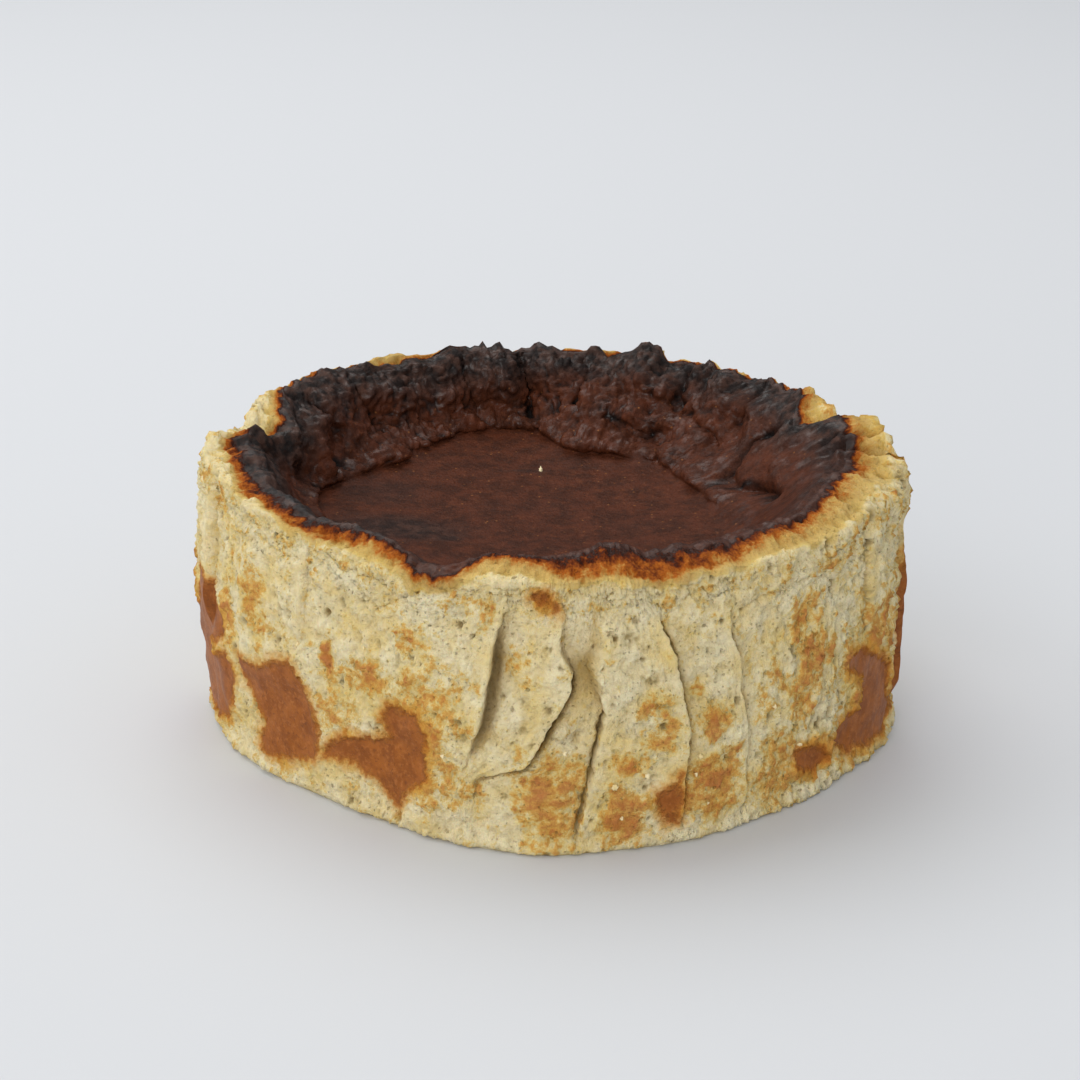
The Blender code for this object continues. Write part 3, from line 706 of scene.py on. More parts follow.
# Toasted spots, where the side touched the paper: bearing, height, half width, half height, strength
TOASTED_SPOTS = (
    (0, 12, 7, 10, 1.1), (13, 20, 4.5, 3.5, 0.9), (12, 9, 6, 7.5, 1.1), (18, 26, 3.6, 4, 0.9),
    (28, 12, 8, 7.5, 1.1), (27, 26, 4, 5, 1), (32, 19, 2, 2, 0.9), (-33, 31, 11, 5, 0.8),
    (-21, 27, 10, 11, 0.95), (-39, 21, 7, 7, 0.7), (-41, 33, 1.6, 3.6, 1.3), (-59, 43, 4.5, 7, 0.9),
    (-57, 35, 5, 4.5, 0.8), (-10, 50, 1.8, 3.4, 0.9), (45, 43, 4.5, 6, 0.95), (48, 32, 6, 7, 0.9),
    (51, 9, 9, 4.5, 1.2), (-69, 31, 3, 8, 1), (-77, 14, 10, 12, 1), (-23, 44, 4.5, 3, 0.9),
    (24, 34, 1.4, 2.6, 0.9), (17, 32, 3.6, 3, 0.9), (-19, 14, 9, 7, 0.75), (-54, 12, 9, 10, 0.7),
    (-5, 40, 3.5, 6, 0.5), (39, 30, 5, 7, 0.6), (61, 27, 8, 7, 0.9), (42, 10, 8, 9, 0.7),
    (69, 31, 11, 8, 0.8), (-72, 57, 9, 4, 0.35), (-90, 28, 7, 14, 1.1), (68, 14, 12, 12, 0.9),
    (46.5, 23, 3.5, 6, 0.8), (47, 37, 3, 5, 0.8), (-1, 53, 1.6, 1.6, 1.0), (-66, 46, 1.6, 6, 0.6),
    (104, 34, 22, 30, 0.9), (143, 24, 15, 19, 0.95), (165, 44, 9, 8, 0.8), (194, 18, 19, 15, 0.95),
    (216, 38, 10, 9, 0.8), (236, 30, 14, 19, 0.9), (-104, 20, 12, 12, 0.8),
)

# How charred the burnt skin is, black rather than brown
CHARRED = {
    -160: 1, -120: 1, -98: 1, -50: 0.95, -34: 0.7, -20: 0.25, 0: 0.15, 6: 0.4, 25: 0.35, 45: 0.3,
    85: 0.6, 100: 0.8, 118: 0.9, 150: 0.95,
}

# How the browning runs outward from the crest, in millimetres: how far the burnt skin reaches past
# it, how wide the amber and then the golden part are, and how bristly and uneven their edges are
SKIN_REACH = {
    -150: 0.3, -112: 0.5, -98: 0.8, -90: 2.0, -60: 2.2, -40: 1.8, -28: 1.2, -24: 1.4, -21: 4.0,
    -16.5: 4.6, -13.5: 0.4, -3: 0.5, 3: 2.0, 30: 2.0, 38: 1.2, 60: 0.8, 90: 0.6, 135: 0.3,
}
AMBER_WIDTH = {
    -160: 0.8, -150: 0.6, -112: 1.0, -98: 1.6, -90: 3.0, -76: 2.4, -66: 3.6, -50: 2.4, -40: 3.0,
    -28: 2.0, -20: 1.0, -3: 1.4, 3: 5.5, 12: 7.5, 22: 6.2, 30: 4.8, 38: 2.8, 50: 1.8, 57: 1.4, 63: 2.4,
    68: 1.2, 76: 2.6, 82: 1.0, 94: 1.2, 135: 0.8,
}
GOLDEN_WIDTH = {
    -165: 1.0, -150: 3.0, -135: 1.5, -112: 2.0, -98: 2.0, -90: 1.2, -60: 1.0, -40: 1.6, -28: 3.0,
    -20: 2.0, -13: 4.0, -3: 4.0, 3: 1.6, 30: 2.0, 38: 4.0, 50: 6.5, 70: 7.0, 80: 6.0, 118: 4.0,
    130: 1.0,
}
BRISTLE = {
    -90: 0.3, -55: 0.35, -30: 0.4, -18: 0.25, 0: 0.3, 8: 0.5, 28: 0.45, 40: 0.1, 100: 0.08, 130: 0.3,
    180: 0.5,
}
RAGGED_EDGE = {
    -160: 0.6, -90: 1.5, -45: 1.5, -28: 0.9, -16: 0.3, 0: 0.3, 10: 0.6, 40: 0.6, 60: 1.3, 95: 1.1,
    130: 0.8,
}

# How far torn chunks of the rim stand above each other
CHUNKY = {
    -130: 0, -108: 0.7, -84: 0.8, -70: 0.2, -60: 0, 46: 0, 62: 0.9, 76: 1.6, 104: 1.5, 116: 0.6, 130: 0,
}

# Deep holes of the rim: bearing, millimetres inward past the top edge, half width and depth
RIM_HOLES = (
    (77.5, 3.2, 0.8, 1.8), (79.5, -0.8, 1.7, 1.3), (70, 1.2, 0.7, 0.9), (63, -0.6, 1.2, 1.0),
    (88, 1.8, 1.0, 1.0), (52, 0.8, 0.7, 0.8), (-72, 1.5, 0.7, 0.9), (-97, -2.5, 1.0, 1.0),
)

# The crumb is streaked up and down on the right: the bearings where that starts and ends, and over
# how many degrees it does so
STREAKS = ((26, 25), (120, 30))


def caramel_distance(bearing, height, wrapped):
    """Millimetres to the nearest smooth patch, negative inside it, with an uneven edge."""
    nearest = np.min([outline_distance(bearing, height, outline) for outline in CARAMEL_PATCHES], axis=0)
    return np.minimum(nearest, FAR_FROM_PATCH) + lumps(wrapped, 4, 41) + 0.6 * lumps(wrapped, 1.4, 42)


def toasting(bearing, height):
    """How strongly the side is toasted at each point."""
    toast = np.zeros(height.shape)
    for mark, up, half_width, half_height, strength in TOASTED_SPOTS:
        apart = np.hypot(arc_between(bearing, mark) / half_width, (height - up) / half_height)
        toast = np.maximum(toast, strength * ease(1.25 - 0.75 * apart))
    return toast


def browning(grid, bristles):
    """How browned the rim is, 1 at the crest and 0 on the pale side, and how far past the gold it is."""
    bearing, wrapped = grid["bearing"], grid["wrapped"]
    uneven = lumps(wrapped, 3.2, 61) + 0.5 * lumps(wrapped, 1.5, 70)
    outward = -grid["past_crest"] - ring(RAGGED_EDGE, bearing) * uneven
    bristly = outward - ring(BRISTLE, bearing) * bristles
    skin_edge = ring(SKIN_REACH, bearing)
    amber_edge = skin_edge + ring(AMBER_WIDTH, bearing)
    golden_edge = amber_edge + ring(GOLDEN_WIDTH, bearing)
    stretches = (
        (0.2, bristly, skin_edge - 0.8, skin_edge), (0.35, bristly, skin_edge, amber_edge),
        (0.35, outward, amber_edge, golden_edge), (0.1, outward, golden_edge, golden_edge + 0.6),
    )
    paled = sum(drop * np.clip((at - start) / (end - start), 0, 1) for drop, at, start, end in stretches)
    return 1 - paled, outward - golden_edge + 0.6 * lumps(wrapped, 3.4, 63) + 0.4 * lumps(wrapped, 1.3, 64)


def torn_side(grid):
    """Relief of the torn crumb and its pores: in layers in front, streaked up and down on the right."""
    bearing, wrapped, past_edge = grid["bearing"], grid["wrapped"], grid["past_edge"]
    turn = turn_between(bearing, 0)
    (start, start_fade), (end, end_fade) = STREAKS
    streaked = ease((turn - start) / start_fade) * ease((end - turn) / end_fade)
    plain = 1 - streaked
    crumbly = 0.7 * rough(wrapped, (3.2, 3.2, 2.5), 51, 5, 0.5)
    streaky = rough(wrapped, (2.6, 2.6, 5), 55, 5, 0.5)
    layers = terraces(4.5 * rough(wrapped, (11, 11, 4.2), 52, 4), 0.16)
    strips = terraces(3.5 * rough(wrapped, (5, 5, 13), 57, 3), 0.18)
    flakes = terraces(4 * rough(wrapped, (7, 7, 2.0), 65, 4), 0.14)
    chips = pits(wrapped, (7, 7, 5), 56, 0.5)
    pores = plain * pits(wrapped, 3.0, 53, 0.25) + streaked * pits(wrapped, (3.0, 3.0, 4.5), 60, 0.5)
    for mark, past, half_width, depth in RIM_HOLES:
        apart = np.hypot(arc_between(bearing, mark), past_edge - past)
        pores = np.maximum(pores, depth * bell(apart, half_width, 2.4))
    torn = 0.55 * plain * layers + streaked * (0.8 * strips + 0.3 * layers)
    relief = crumbly * plain + streaky * streaked + torn * ease((2 - past_edge) / 4)
    relief += 0.9 * flakes * bell(past_edge + 4, 4) - 0.7 * chips - 0.8 * (1 + streaked) * pores
    return relief, pores


def torn_rim(grid, relief, bristles, from_golden, smooth):
    """The torn relief with its rim: standing chunks, a torn lip and the bristly golden band."""
    bearing, wrapped = grid["bearing"], grid["wrapped"]
    past_edge, past_crest = grid["past_edge"], grid["past_crest"]
    on_side = ease((-past_edge - 0.5) / 3)
    on_band = ease((past_edge + 0.5) / 2) * ease((0.8 - past_crest) / 1.2)
    pale = ease(from_golden + 0.5)
    chunks = terraces(3.2 * ragged(bearing, 7, 71) + 0.9 * lumps(wrapped, 4.5, 72), 0.18)
    relief = relief + ring(CHUNKY, bearing) * chunks * bell(past_edge - 1, 5) * (1 - smooth)
    relief *= on_side + (1 - on_side) * (0.85 + 0.15 * pale) * ease((0.5 - past_crest) / 2)
    relief += 0.3 * ring(BRISTLE, bearing) * bristles * on_band * (1 - pale)
    lip = np.maximum(0, ragged(bearing, 5, 58) + 0.5 * ragged(bearing, 1.8, 59) + 0.15)
    relief += 1.1 * lip * (bell(past_edge + 0.7, 1.1) - 0.7 * bell(past_edge - 1.6, 1.3))
    puffed = (0.75 + 0.5 * lumps(wrapped, 2.4, 66)) * pale * np.exp(-np.maximum(from_golden, 0) / 3.5)
    return relief + puffed * ease(on_band + 0.6 * on_side)


def crumb_finish(grid):
    """Gives the grid its fine relief and the masks that its material reads."""
    places, bearing, wrapped = grid["places"], grid["bearing"], grid["wrapped"]
    height = places[..., 2]
    caramel = caramel_distance(bearing, height, wrapped)
    smooth = ease(0.5 - caramel / 1.5)
    bristles = lumps(wrapped, (1.1, 1.1, 4), 62)
    browned, from_golden = browning(grid, bristles)
    relief, pores = torn_side(grid)
    relief *= (1 - 0.88 * smooth) * (1 - 0.55 * ease((grid["hollow"] - 0.8) / 1.5))
    relief *= 1 - 0.65 * ease(np.abs(grid["lean"]) / 0.35)
    relief = torn_rim(grid, relief, bristles, from_golden, smooth)
    nubs = np.maximum(0, ragged(bearing, 3.4, 67) + 0.4 * ragged(bearing, 1.4, 68)) * bell(height - 1.6, 1.6)
    relief = (relief + 0.8 * nubs) * ease(height / 1.2) - TUCK_SINK * ease((grid["past_crest"] - 1.2) / 2.5)
    grid.update({
        "relief_height": relief, "browned": browned, "caramel": caramel, "pores": pores * (1 - smooth),
        "rim": ease((grid["past_edge"] + 7 + 2.5 * lumps(wrapped, 5, 69)) / 6),
        "toast": toasting(bearing, height), "char_and_shade": ring(CHARRED, bearing),
    })
    grid["places"] = places + grid_normals(places) * relief[..., None]
    return grid


def stitched(outer, inner):
    """Faces between two rings of points, where the inner one has as many points or half of them."""
    count = len(inner)
    after = [(index + 1) % count for index in range(count)]
    if len(outer) == count:
        return [(outer[i], outer[j], inner[j], inner[i]) for i, j in enumerate(after)]
    faces = []
    for i, j in enumerate(after):
        first, second, third = outer[2 * i], outer[2 * i + 1], outer[(2 * i + 2) % len(outer)]
        faces.append((first, second, inner[i]))
        faces.append((second, third, inner[j], inner[i]))
    return faces


class Shape:
    """Points and faces of one closed mesh, gathered ring by ring."""

    def __init__(self):
        self.points = []
        self.faces = []
        self.values = {}

    def ring(self, places, **values):
        """Adds a ring of points and what the material reads there, and returns their numbers."""
        start = sum(len(block) for block in self.points)
        self.points.append(places)
        for name, value in values.items():
            self.values.setdefault(name, []).append(value)
        return list(range(start, start + len(places)))

    def join(self, rings, closed=True, flipped=False):
        """Adds the faces from each ring to the next, and one over the last ring where it is closed."""
        faces = []
        for outer, inner in zip(rings, rings[1:]):
            faces += stitched(outer, inner)
        if closed:
            faces.append(tuple(rings[-1]))
        self.faces += [face[::-1] for face in faces] if flipped else faces

    def mesh_object(self, name):
        mesh = bpy.data.meshes.new(name)
        placed = (np.concatenate(self.points) + (*TIN_AXIS, 0)) * MM
        placed = np.clip(placed, *(np.array(corner) for corner in cad_box))
        mesh.from_pydata(placed.tolist(), [], self.faces)
        for key, blocks in self.values.items():
            values = np.concatenate(blocks)
            kind, field = ("FLOAT_VECTOR", "vector") if values.ndim > 1 else ("FLOAT", "value")
            layer = mesh.attributes.new(key, kind, "POINT")
            layer.data.foreach_set(field, values.astype(np.float32).ravel())
        mesh.shade_smooth()
        piece = bpy.data.objects.new(name, mesh)
        bpy.context.scene.collection.objects.link(piece)
        return piece


CRUMB_MASKS = ("browned", "rim", "toast", "caramel", "char_and_shade", "hollow", "pores", "relief_height", "wrapped")

# The rings that close the crumb, each with its number of points: across the base, as a share of its
# outline; under the burnt wall, by how far down it; and under the floor, as a share of its radius
BASE_RINGS = ((400, 0.985), (400, 0.93), (200, 0.75), (100, 0.45), (50, 0.15))
WALL_RINGS = ((400, 0.35), (400, 0.7), (200, 1.0))
FLOOR_RINGS = ((100, 1.4 / 2.4), (50, 0.25))
CAP_DEPTH = 3.8
CRUMB_CAP_HEIGHT = FLOOR_HEIGHT - CAP_DEPTH - 2.2


def under_wall(bearing, down, depth):
    """Points this deep under the burnt wall, where down runs from 0 at the crest to 1 at the floor."""
    radius, height = wall_form(bearing, np.full(len(bearing), down))
    return spot(bearing, radius + depth * (1 - 0.5 * down), height - depth)


def crumb_mesh():
    grid = crumb_finish(crumb_points())
    shape = Shape()
    side = [
        shape.ring(places, **{name: grid[name][row] for name in CRUMB_MASKS})
        for row, places in enumerate(grid["places"])
    ]
    shape.join(side, closed=False)

    def closing_ring(row, places, toast, caramel):
        """A ring with fewer points than the grid, that closes the base or the inside."""
        count = len(places)
        values = {name: grid[name][row][::CRUMB_COLUMNS // count] for name in CRUMB_MASKS}
        values.update(toast=np.full(count, toast), caramel=np.full(count, caramel))
        return shape.ring(places, **values)

    base = [side[0]]
    for count, share in BASE_RINGS:
        flat = grid["places"][0][::CRUMB_COLUMNS // count] * (share, share, 0)
        base.append(closing_ring(0, flat, 1.2, -3.0 if share < 0.97 else 1.0))
    shape.join(base, flipped=True)

    edge_bearing = grid["bearing"][-1]
    inside = [side[-1]]
    for count, down in WALL_RINGS:
        marks = edge_bearing[::CRUMB_COLUMNS // count]
        inside.append(closing_ring(-1, under_wall(marks, down, CAP_DEPTH), 0.0, FAR_FROM_PATCH))
    for count, share in FLOOR_RINGS:
        marks = edge_bearing[::CRUMB_COLUMNS // count]
        level = spot(marks, share * ring(FOOT_RADIUS, marks), CRUMB_CAP_HEIGHT)
        inside.append(closing_ring(-1, level, 0.0, FAR_FROM_PATCH))
    shape.join(inside)
    return shape.mesh_object("cake_crumb")


cake_crumb = crumb_mesh()


# How each finish is written: a small helper that adds nodes to a node tree and joins them
class Finish:
    """Adds shader nodes to one tree. A value is a number, a colour, a vector or a node's output."""

    def __init__(self, tree):
        self.tree = tree

    def join(self, value, socket):
        if isinstance(value, bpy.types.NodeSocket):
            self.tree.links.new(value, socket)
        else:
            socket.default_value = value

    def feed(self, node, inputs):
        """Gives each named or numbered input of a node its value."""
        for name, value in inputs.items():
            self.join(value, node.inputs[name])

    def node(self, kind, inputs=None, **settings):
        made = self.tree.nodes.new(kind)
        for name, value in settings.items():
            setattr(made, name, value)
        self.feed(made, inputs or {})
        return made

    def group(self, tree, **inputs):
        return self.node("ShaderNodeGroup", inputs, node_tree=tree).outputs

    def math(self, operation, *values):
        return self.node("ShaderNodeMath", dict(enumerate(values)), operation=operation).outputs[0]

    def times(self, first, second):
        return self.math("MULTIPLY", first, second)

    def line(self, value, slope, start):
        """start, plus value times slope."""
        return self.math("MULTIPLY_ADD", value, slope, start)

    def swing(self, value, amount):
        """How far value is from 0.5, times amount."""
        return self.times(self.math("SUBTRACT", value, 0.5), amount)

    def between(self, value, low, high):
        """0 where value is at low, 1 where it is at high, eased between."""
        limits = {"Value": value, "From Min": low, "From Max": high}
        return self.node("ShaderNodeMapRange", limits, interpolation_type="SMOOTHSTEP").outputs[0]

    def mix(self, share, first, second, blend="MIX"):
        parts = {0: share, 6: first, 7: second}
        return self.node("ShaderNodeMix", parts, data_type="RGBA", blend_type=blend).outputs[2]

    def tint(self, base, shade, value, low, high, strength, blend="MIX"):
        """The base colour, mixed up to strength with shade as value runs from low to high."""
        return self.mix(self.times(self.between(value, low, high), strength), base, shade, blend)

    def vector(self, operation, first, second):
        return self.node("ShaderNodeVectorMath", {0: first, 1: second}, operation=operation).outputs[0]

    def noise(self, vector, size, detail=3.0, roughness=0.55, output="Fac"):
        """Uneven values around 0.5, whose largest lumps are about size millimetres across."""
        settings = {"Vector": vector, "Scale": 1 / size, "Detail": detail, "Roughness": roughness}
        return self.node("ShaderNodeTexNoise", settings).outputs[output]

    def cells(self, vector, size):
        """Distance to the nearest point of a loose pattern, and that point's random number."""
        made = self.node("ShaderNodeTexVoronoi", {"Vector": vector, "Scale": 1 / size})
        split = self.node("ShaderNodeSeparateColor", {"Color": made.outputs["Color"]})
        return made.outputs["Distance"], split.outputs[0]

    def ramp(self, value, *stops):
        made = self.node("ShaderNodeValToRGB", {"Fac": value})
        marks = made.color_ramp.elements
        while len(marks) < len(stops):
            marks.new(0.5)
        for mark, (place, shade) in zip(marks, stops):
            mark.position = place
            mark.color = shade
        return made.outputs["Color"]

    def bump(self, height, strength, distance):
        made = self.node("ShaderNodeBump", {"Strength": strength, "Distance": distance, "Height": height})
        return made.outputs["Normal"]

    def mask(self, name, output="Fac"):
        return self.node("ShaderNodeAttribute", attribute_name=name).outputs[output]

    def millimetres(self):
        """Places on the object in millimetres."""
        return self.vector("MULTIPLY", self.node("ShaderNodeTexCoord").outputs["Object"], (1000, 1000, 1000))


def colour(red, green, blue):
    """A colour given as it looks on a screen, 0 to 255, as the linear values that a shader takes."""
    parts = [part / 255 for part in (red, green, blue)]
    return (*(p / 12.92 if p <= 0.04045 else ((p + 0.055) / 1.055) ** 2.4 for p in parts), 1.0)


def finish_group(name, inputs, outputs):
    """An empty node group with named sockets, its helper, its inputs and the node that it puts out."""
    tree = bpy.data.node_groups.new(name, "ShaderNodeTree")
    kinds = {"value": "NodeSocketFloat", "vector": "NodeSocketVector", "colour": "NodeSocketColor"}
    for way, sockets in (("INPUT", inputs), ("OUTPUT", outputs)):
        for socket, kind in sockets.items():
            tree.interface.new_socket(name=socket, in_out=way, socket_type=kinds[kind])
    finish = Finish(tree)
    return tree, finish, finish.node("NodeGroupInput").outputs, finish.node("NodeGroupOutput")


CREAM = colour(248, 232, 188)
WARM_CREAM = colour(240, 214, 148)
GREY_CREAM = colour(216, 196, 145)
SHADED_CREAM = colour(180, 156, 102)
# Painted shade inside pores and pits
PORE_SHADE = colour(128, 100, 52)
PALE_TOAST = colour(234, 206, 124)
TOAST = colour(222, 166, 72)
DEEP_TOAST = colour(194, 112, 36)
CARAMEL = colour(154, 88, 30)
DARK_CARAMEL = colour(132, 72, 22)
PALE_RIM = colour(220, 186, 100)
GOLDEN = colour(200, 154, 72)
AMBER = colour(180, 98, 28)
RUST = colour(112, 48, 16)
SCORCHED = colour(60, 28, 16)


def porous_crumb():
    """Pale torn crumb, toasted where it touched the paper, with painted shade in its pits and lows."""
    tree, f, given, put = finish_group(
        "porous_crumb", {"Place": "vector", "Toast": "value", "Grain": "value", "Rim": "value"},
        {"Color": "colour", "Height": "value"},
    )
    place, relief_height = given["Place"], given["Grain"]
    middling = f.noise(place, 2.8, 4, 0.6)
    crumbs = f.noise(place, 1.3, 5, 0.72)
    pale = f.mix(f.between(f.noise(place, 9, 3), 0.38, 0.64), CREAM, WARM_CREAM)
    # Painted shade where the relief and crumb lumps sink, painted highlight where they rise
    for shade, value, low, high, strength in (
        (colour(238, 212, 144), given["Rim"], 0.1, 1.0, 0.7), (GREY_CREAM, middling, 0.46, 0.68, 0.6),
        (SHADED_CREAM, crumbs, 0.45, 0.28, 0.5), (colour(162, 138, 84), relief_height, 0.0, -1.0, 0.75),
        (colour(252, 240, 206), relief_height, 0.1, 0.9, 0.4), (colour(250, 239, 208), crumbs, 0.58, 0.74, 0.5),
    ):
        pale = f.tint(pale, shade, value, low, high, strength)

    wobble = f.vector("ADD", place, f.noise(place, 1 / 1.2, 2.0, 0.5, "Color"))
    # Specks and pores: small pits in the bump, filled with painted shade
    near, key = f.cells(wobble, 0.9)
    speck = f.between(near, f.times(key, 0.38), f.times(key, 0.12))
    speck = f.times(speck, f.between(key, 0.6, 0.85))
    large, large_key = f.cells(wobble, 3.1)
    pore = f.between(large, f.times(large_key, 0.2), f.times(large_key, 0.09))
    pore = f.times(pore, f.between(large_key, 0.66, 0.85))
    holes = f.math("MAXIMUM", f.times(speck, 0.7), pore)

    blotches = f.swing(f.noise(place, 4.2, 5, 0.62), 3.2)
    patchy = f.math("ADD", f.math("ADD", given["Toast"], blotches), f.swing(crumbs, 2.3))
    amount = f.between(f.line(relief_height, 0.45, patchy), -0.1, 1.75)
    toasted = f.ramp(amount, (0.0, PALE_TOAST), (0.3, PALE_TOAST), (0.62, TOAST), (1.0, DEEP_TOAST))
    body = f.tint(pale, toasted, amount, 0.0, 0.55, 0.9)
    body = f.mix(f.times(holes, 0.55), body, PORE_SHADE)

    lumpy = f.math("ADD", f.times(crumbs, 1.1), f.times(f.noise(place, 0.35, 2), 0.2))
    lumpy = f.math("ADD", lumpy, f.times(middling, 0.7))
    f.feed(put, {"Color": body, "Height": f.math("SUBTRACT", lumpy, f.times(holes, 0.5))})
    return tree


def burnt_crust():
    """Burnt skin: dark brown with specks, near black where it charred, and painted shade in its folds."""
    tree, f, given, put = finish_group(
        "burnt_crust", {"Place": "vector", "Charred": "value", "Fold": "value"},
        {"Color": "colour", "Grease": "value", "Height": "value"},
    )
    place = given["Place"]
    fine = f.noise(place, 1.3, 4, 0.65)
    brown = f.mix(f.between(f.noise(place, 5, 4, 0.6), 0.36, 0.64), colour(86, 43, 25), colour(66, 33, 19))
    brown = f.tint(brown, colour(112, 62, 34), fine, 0.5, 0.76, 0.5)
    brown = f.tint(brown, colour(42, 23, 16), fine, 0.44, 0.28, 0.5)
    near, key = f.cells(place, 1.9)
    speck = f.times(f.between(near, 0.17, 0.07), f.between(key, 0.66, 0.8))
    brown = f.mix(f.times(speck, 0.65), brown, colour(160, 102, 54))
    pit = f.times(f.between(near, 0.16, 0.08), f.between(key, 0.3, 0.16))
    brown = f.mix(f.times(pit, 0.7), brown, colour(30, 17, 13))
    black = f.mix(f.between(f.noise(place, 3.0, 4, 0.6), 0.38, 0.66), colour(34, 27, 25), colour(74, 51, 42))
    crust = f.mix(f.between(given["Charred"], 0.0, 0.85), brown, black)
    # Deep in folds and creases the crust is darkened to near black: painted shade
    f.feed(put, {
        "Color": f.mix(f.between(given["Fold"], 0.15, -0.6), crust, colour(20, 13, 11)),
        "Grease": f.between(f.noise(place, 3.2, 4, 0.6), 0.42, 0.72),
        "Height": f.line(f.noise(place, 0.4, 2), 0.3, f.noise(place, 1.4, 4, 0.6)),
    })
    return tree


POROUS_CRUMB = porous_crumb()
BURNT_CRUST = burnt_crust()


def new_material(name):
    """A material with its helper and its Principled shader."""
    material = bpy.data.materials.new(name)
    material.use_nodes = True
    finish = Finish(material.node_tree)
    return material, finish, material.node_tree.nodes["Principled BSDF"]


def caramel_sheen(f, place, mottled, edge):
    """The mottled colour of the smooth patches, paler along their edges."""
    sheen = f.mix(f.between(f.noise(place, 4, 4, 0.6), 0.36, 0.64), CARAMEL, DARK_CARAMEL)
    sheen = f.tint(sheen, colour(176, 108, 52), mottled, 0.5, 0.66, 0.5)
    sheen = f.tint(sheen, colour(96, 52, 24), f.noise(place, 0.7, 3), 0.44, 0.3, 0.5)
    return f.tint(sheen, colour(170, 100, 38), edge, -2.4, -0.4, 0.3)


def baked_crumb():
    material, f, shader = new_material("baked_crumb")
    place = f.millimetres()
    toast, relief_height, rim, hollow = (f.mask(name) for name in ("toast", "relief_height", "rim", "hollow"))
    crumb = f.group(POROUS_CRUMB, Place=place, Toast=toast, Grain=relief_height, Rim=rim)
    # Painted shade in the hollows beside the pleats, darker deep in their slits, and in the pores
    body = f.tint(crumb["Color"], colour(176, 148, 92), hollow, 0.3, 3.0, 0.5, "MULTIPLY")
    body = f.tint(body, colour(120, 94, 50), hollow, 1.8, 3.4, 0.55)
    # The pores of the torn side are filled with painted shade
    body = f.mix(f.times(f.mask("pores"), 0.6), body, PORE_SHADE)

    mottled = f.noise(place, 1.1, 4, 0.6)
    edge = f.math("ADD", f.mask("caramel"), f.swing(mottled, 2.8))
    skin = f.between(edge, 0.8, -1.1)
    body = f.tint(body, TOAST, edge, 3.2, 0.9, 0.7)
    body = f.tint(body, DEEP_TOAST, edge, 1.6, 0.0, 0.8)
    body = f.mix(skin, body, caramel_sheen(f, place, mottled, edge))

    crust = f.group(BURNT_CRUST, Place=place, Charred=f.mask("char_and_shade"), Fold=0.3)
    browned = f.mask("browned")
    wrapped = f.mask("wrapped", "Vector")
    uneven = f.swing(f.noise(wrapped, 0.8, 4, 0.6), 0.5)
    uneven = f.line(f.math("SUBTRACT", f.noise(wrapped, 3, 3), 0.5), 0.6, uneven)
    run = f.line(uneven, f.between(browned, 0.08, 0.5), browned)
    brown = f.ramp(run, (0.08, PALE_RIM), (0.3, GOLDEN), (0.5, AMBER), (0.68, RUST), (0.8, SCORCHED))
    brown = f.mix(f.between(run, 0.8, 0.94), brown, crust["Color"])
    cover = f.times(f.between(run, 0.01, 0.12), f.line(f.between(run, 0.2, 0.5), 0.25, 0.75))

    burnt = f.between(run, 0.68, 0.86)
    glossy = f.math("MAXIMUM", skin, burnt)
    greasy = f.line(crust["Grease"], 0.3, 0.15)
    level = f.times(crumb["Height"], f.line(glossy, -0.85, 1.0))
    f.feed(shader, {
        "Base Color": f.mix(cover, body, brown), "Roughness": f.line(glossy, -0.35, 0.88),
        "Coat Weight": f.math("MAXIMUM", f.times(greasy, burnt), f.times(skin, 0.15)),
        "Coat Roughness": 0.32, "Specular IOR Level": 0.15, "Normal": f.bump(level, 1.0, 0.001),
        "Subsurface Weight": 0.12, "Subsurface Radius": (1.0, 0.6, 0.3), "Subsurface Scale": 0.0015,
    })
    return material


cake_crumb.data.materials.append(baked_crumb())
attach(cake_crumb, "root")
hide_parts("cheesecake")


# ---------------------------------------------------------------------------------------------
# The burnt top. The skin scorched dark brown in the oven, then sank as the cake cooled, so that
# its wall crumpled in heavy folds at the back and lies smooth in front. It is a closed mesh of its
# own, a few millimetres thick, whose thin ragged lip lies just inside the crest of the crumb.
# ---------------------------------------------------------------------------------------------

TOP_COLUMNS = 880
BACK_CROWDING = 0.3
WALL_ROWS = 64
FLOOR_DISH = 2.0
LIP_LIFT = 0.12
FOLD_DEPTH = 1.5

# Rings of the floor: how far apart they lie on a floor of this radius, and the share of it where
# they end. Every other column is left out where columns would stand closer than CLOSEST_COLUMNS
FLOOR_RADIUS = 48
FLOOR_SPACING = 1.1
FLOOR_CENTRE = 0.06
CLOSEST_COLUMNS = 0.62
FEWEST_COLUMNS = 55

# The rings that close the skin from below: number of points, how far down the wall, and how thick
SKIN_RINGS = ((440, 0.12, 0.9), (440, 0.5, CAP_DEPTH - 0.3), (220, 1.0, CAP_DEPTH - 0.3))
SKIN_FOOT = FLOOR_HEIGHT - CAP_DEPTH - 2

# How finely the burnt wall is crumpled, and how much: least in front and on the right
FINELY_CRUMPLED = {
    -135: 1, -110: 0.8, -90: 0.6, -60: 0.5, 0: 0.5, 60: 0.4, 95: 0.45, 118: 0.6, 150: 0.75, 165: 0.95,
    180: 1,
}
CRUMPLED = {
    -120: 0.9, -90: 0.6, -60: 0.3, -30: 0.15, 60: 0.12, 85: 0.22, 105: 0.42, 125: 0.68, 142: 0.9,
    180: 0.95,
}

# A smooth ridge of the skin that runs along its edge, most on the right
EDGE_RIDGE = {-40: 0.1, -10: 0, 8: 0.3, 40: 0.6, 85: 0.7, 100: 0.3, 112: 0, 180: 0}

